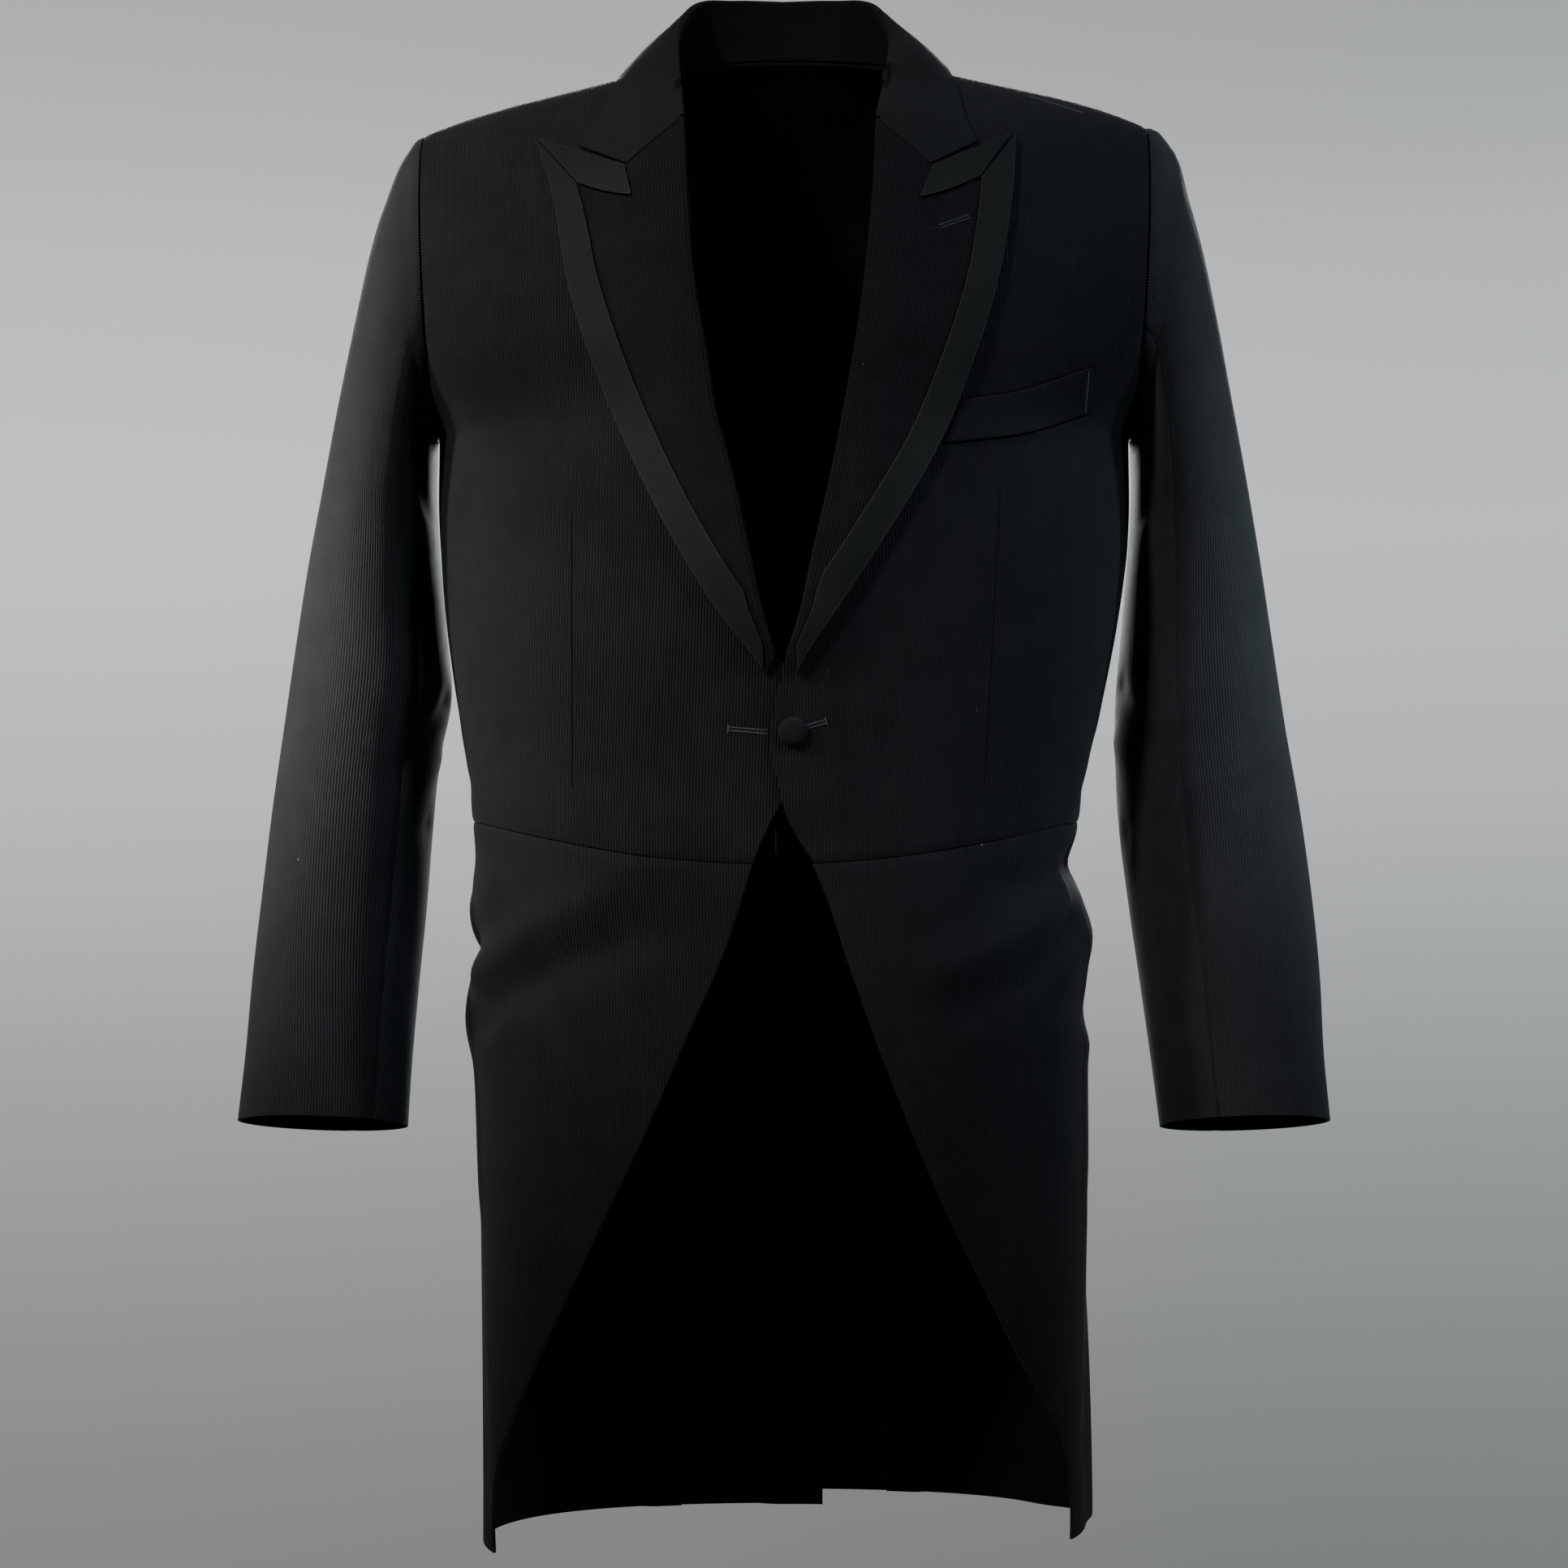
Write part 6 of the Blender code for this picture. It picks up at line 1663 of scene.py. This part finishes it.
for side, sign in SIDES.items():
    right = sign < 0
    forearm = FOREARM_SEAM[side]
    top_sleeve = sleeve_grid(side, HIND_SEAM, forearm, 120, 50)
    under_sleeve = sleeve_grid(side, forearm, 360 + HIND_SEAM, 120, 36)
    # Node, grid, whether its faces are turned, finish, and the weight of the pressed seam at each sewn edge
    panels = (
        ("front", front_grid(side), right, f"front_{side}", {"foot": 1.0, "head": 1.0, "last": 1.0}),
        ("back", back_grid(side), not right, "wool", {"head": 1.0, "last": 1.0, "first": CENTRE_SEAM}),
        ("side_body", side_body_grid(side), not right, "wool", {"first": 1.0, "last": 1.0, "foot": 1.0}),
        ("skirt", skirt_grid(side), right, "wool", {"head": 1.0}),
        ("top_sleeve", top_sleeve, right, "sleeve", SLEEVE_SEAMS),
        ("under_sleeve", under_sleeve, right, "sleeve", SLEEVE_SEAMS),
    )
    for name, made, turned, finish, seams in panels:
        cloth(f"{name}_{side}", made, turned, CLOTH, finish, "ribbed_wool", seams)
    lapel = lapel_grid(side, rows=110, turn_columns=ROLL_COLUMNS, inner_columns=20, outer_columns=20)
    on_lapel = {"held": "laid", "rests_on": [f"lapel_{side}_cloth"]}
    cloth(f"lapel_{side}", lapel, right, CLOTH, "lapel", "ribbed_wool", {}, "folded", [f"front_{side}_cloth"])
    ribbon = edge_ribbon_grid(side, rows=130, columns=14)
    lie = lie_of_grid(ribbon, 0)
    cloth(f"edge_ribbon_{side}", (ribbon, lie), right, RIBBON, "ribbon", "ribbon", {}, **on_lapel)
    ribbon = top_ribbon_grid(side, rows=20, columns=34)
    lie = lie_of_grid(ribbon, 0)[..., ::-1]
    cloth(f"top_ribbon_{side}", (ribbon, lie), right, RIBBON, "ribbon", "ribbon", {}, **on_lapel)
    level = np.array(0.0)
    across = np.array(SIDE_BACK_SEAM["across"][2] - WAIST_BUTTON_IN)
    out = outward(level, across, "back", side)
    centre = body(level, across, "back", side) + out * BUTTON_GAP * 2
    covered_button(f"waist_button_{side}", centre, out, BUTTON_RADIUS, BUTTON_HEIGHT)
    for number in range(CUFF_BUTTONS):
        share = np.array(1 - (CUFF_BUTTON_FROM_HEM + CUFF_BUTTON_PITCH * number) / SLEEVE_LENGTH)
        angle = np.array(math.radians(HIND_SEAM + CUFF_BUTTON_TURN))
        along = sleeve_point(share + STEP, angle, side) - sleeve_point(share - STEP, angle, side)
        round_arm = sleeve_point(share, angle + STEP, side) - sleeve_point(share, angle - STEP, side)
        out = unit(np.cross(round_arm, along) * sign)
        centre = sleeve_point(share, angle, side) + out * BUTTON_GAP
        node = f"cuff_button_{side}_{number + 1}"
        covered_button(node, centre, out, CUFF_BUTTON_RADIUS, CUFF_BUTTON_HEIGHT)

whole_collar = collar_grid(stations=141, turn_columns=ROLL_COLUMNS, columns=14)
cloth("collar", whole_collar, True, CLOTH, "collar", "collar_wool", {},
      held="folded", rests_on=["back_left_cloth", "back_right_cloth"])
welt = welt_grid(rows=14, columns=60)
welt_lie = np.stack((welt[..., 0] * 1.03, welt[..., 2]), axis=-1)
cloth("breast_welt", (welt, welt_lie), False, WELT_CLOTH, "welt", "ribbed_wool", {},
      held="laid", rests_on=["front_left_cloth"])

x, z = (np.array(value) for value in FRONT_BUTTON)
level, across = drop_on_front(x, z, "left")
out = outward(level, across, "front", "left")
centre = body(level, across, "front", "left") + out * BUTTON_GAP
covered_button("front_button", centre, out, BUTTON_RADIUS, BUTTON_HEIGHT)
for name, hole in BUTTONHOLES.items():
    buttonhole(name, *hole)
# Painted shadow: the lapel buttonhole's slit runs on past its threads as a dark cord
slit_path = over_cloth(*LAPEL_SLIT, 10, "left", 0.0, True)
cord_of_thread("lapel_buttonhole_slit_shadow", slit_path, THREAD_RADIUS * 0.6, "slit", 0.0)


def paint_room(tree):
    """Grey wall behind the coat, paler at shoulder height and to the left, and dim air in front of it."""
    sideways, backwards, upwards = split(tree, tree.nodes.new("ShaderNodeTexCoord").outputs["Generated"])
    height = ramp(tree, upwards, WALL_LOW, WALL_HIGH)
    wall = tree.nodes.new("ShaderNodeValToRGB")
    for number, (place, grey) in enumerate(WALL_GREYS):
        stop = wall.color_ramp.elements[number] if number < 2 else wall.color_ramp.elements.new(place)
        stop.position = place
        stop.color = (grey, grey, grey, 1)
    tree.links.new(height, wall.inputs[0])
    tint = mixed(tree, ramp(tree, sideways, -WALL_ASIDE, WALL_ASIDE), WALL_LEFT, WALL_RIGHT)
    behind = ramp(tree, backwards, *AIR_END)
    lit = vectors(tree, "MULTIPLY", wall.outputs[0], tint)[0]
    tree.links.new(mixed(tree, behind, AIR_IN_FRONT, lit), tree.nodes["Background"].inputs["Color"])


def floor_and_light():
    """Pale round floor, grey air, soft lights in front, at the sides and behind, and the camera."""
    turn = 2 * math.pi * np.arange(FLOOR_CORNERS) / FLOOR_CORNERS
    points = np.stack((FLOOR_RADIUS * np.cos(turn), FLOOR_RADIUS * np.sin(turn), FLOOR_Z + 0 * turn), axis=-1)
    mesh = bpy.data.meshes.new("floor")
    mesh.from_pydata(points.tolist(), [], [tuple(range(FLOOR_CORNERS))])
    floor = put_in_scene("floor", mesh)
    pale = bpy.data.materials.new("pale_floor")
    pale.use_nodes = True
    shader = pale.node_tree.nodes["Principled BSDF"]
    shader.inputs["Base Color"].default_value = FLOOR_GREY
    shader.inputs["Roughness"].default_value = 0.9
    mesh.materials.append(pale)
    room = bpy.data.worlds.new("room")
    room.use_nodes = True
    paint_room(room.node_tree)
    bpy.context.scene.world = room
    for name, place, aim, size, power, spread_angle, tint in LIGHTS:
        light = bpy.data.lights.new(name, "AREA")
        light.shape = "DISK"
        light.size = size
        light.energy = power
        light.spread = math.radians(spread_angle)
        light.color = tint
        lamp = put_in_scene(name, light)
        lamp.location = place
        lamp.rotation_euler = (Vector(aim) - Vector(place)).to_track_quat("-Z", "Y").to_euler()
    eye = bpy.data.cameras.new("camera")
    eye.lens = LENS
    eye.sensor_width = 36.0
    eye.clip_end = 50.0
    camera = put_in_scene("camera", eye)
    camera.location = CAMERA_PLACE
    camera.rotation_euler = (math.radians(90), 0.0, 0.0)
    bpy.context.scene.camera = camera


floor_and_light()

bpy.context.view_layer.update()
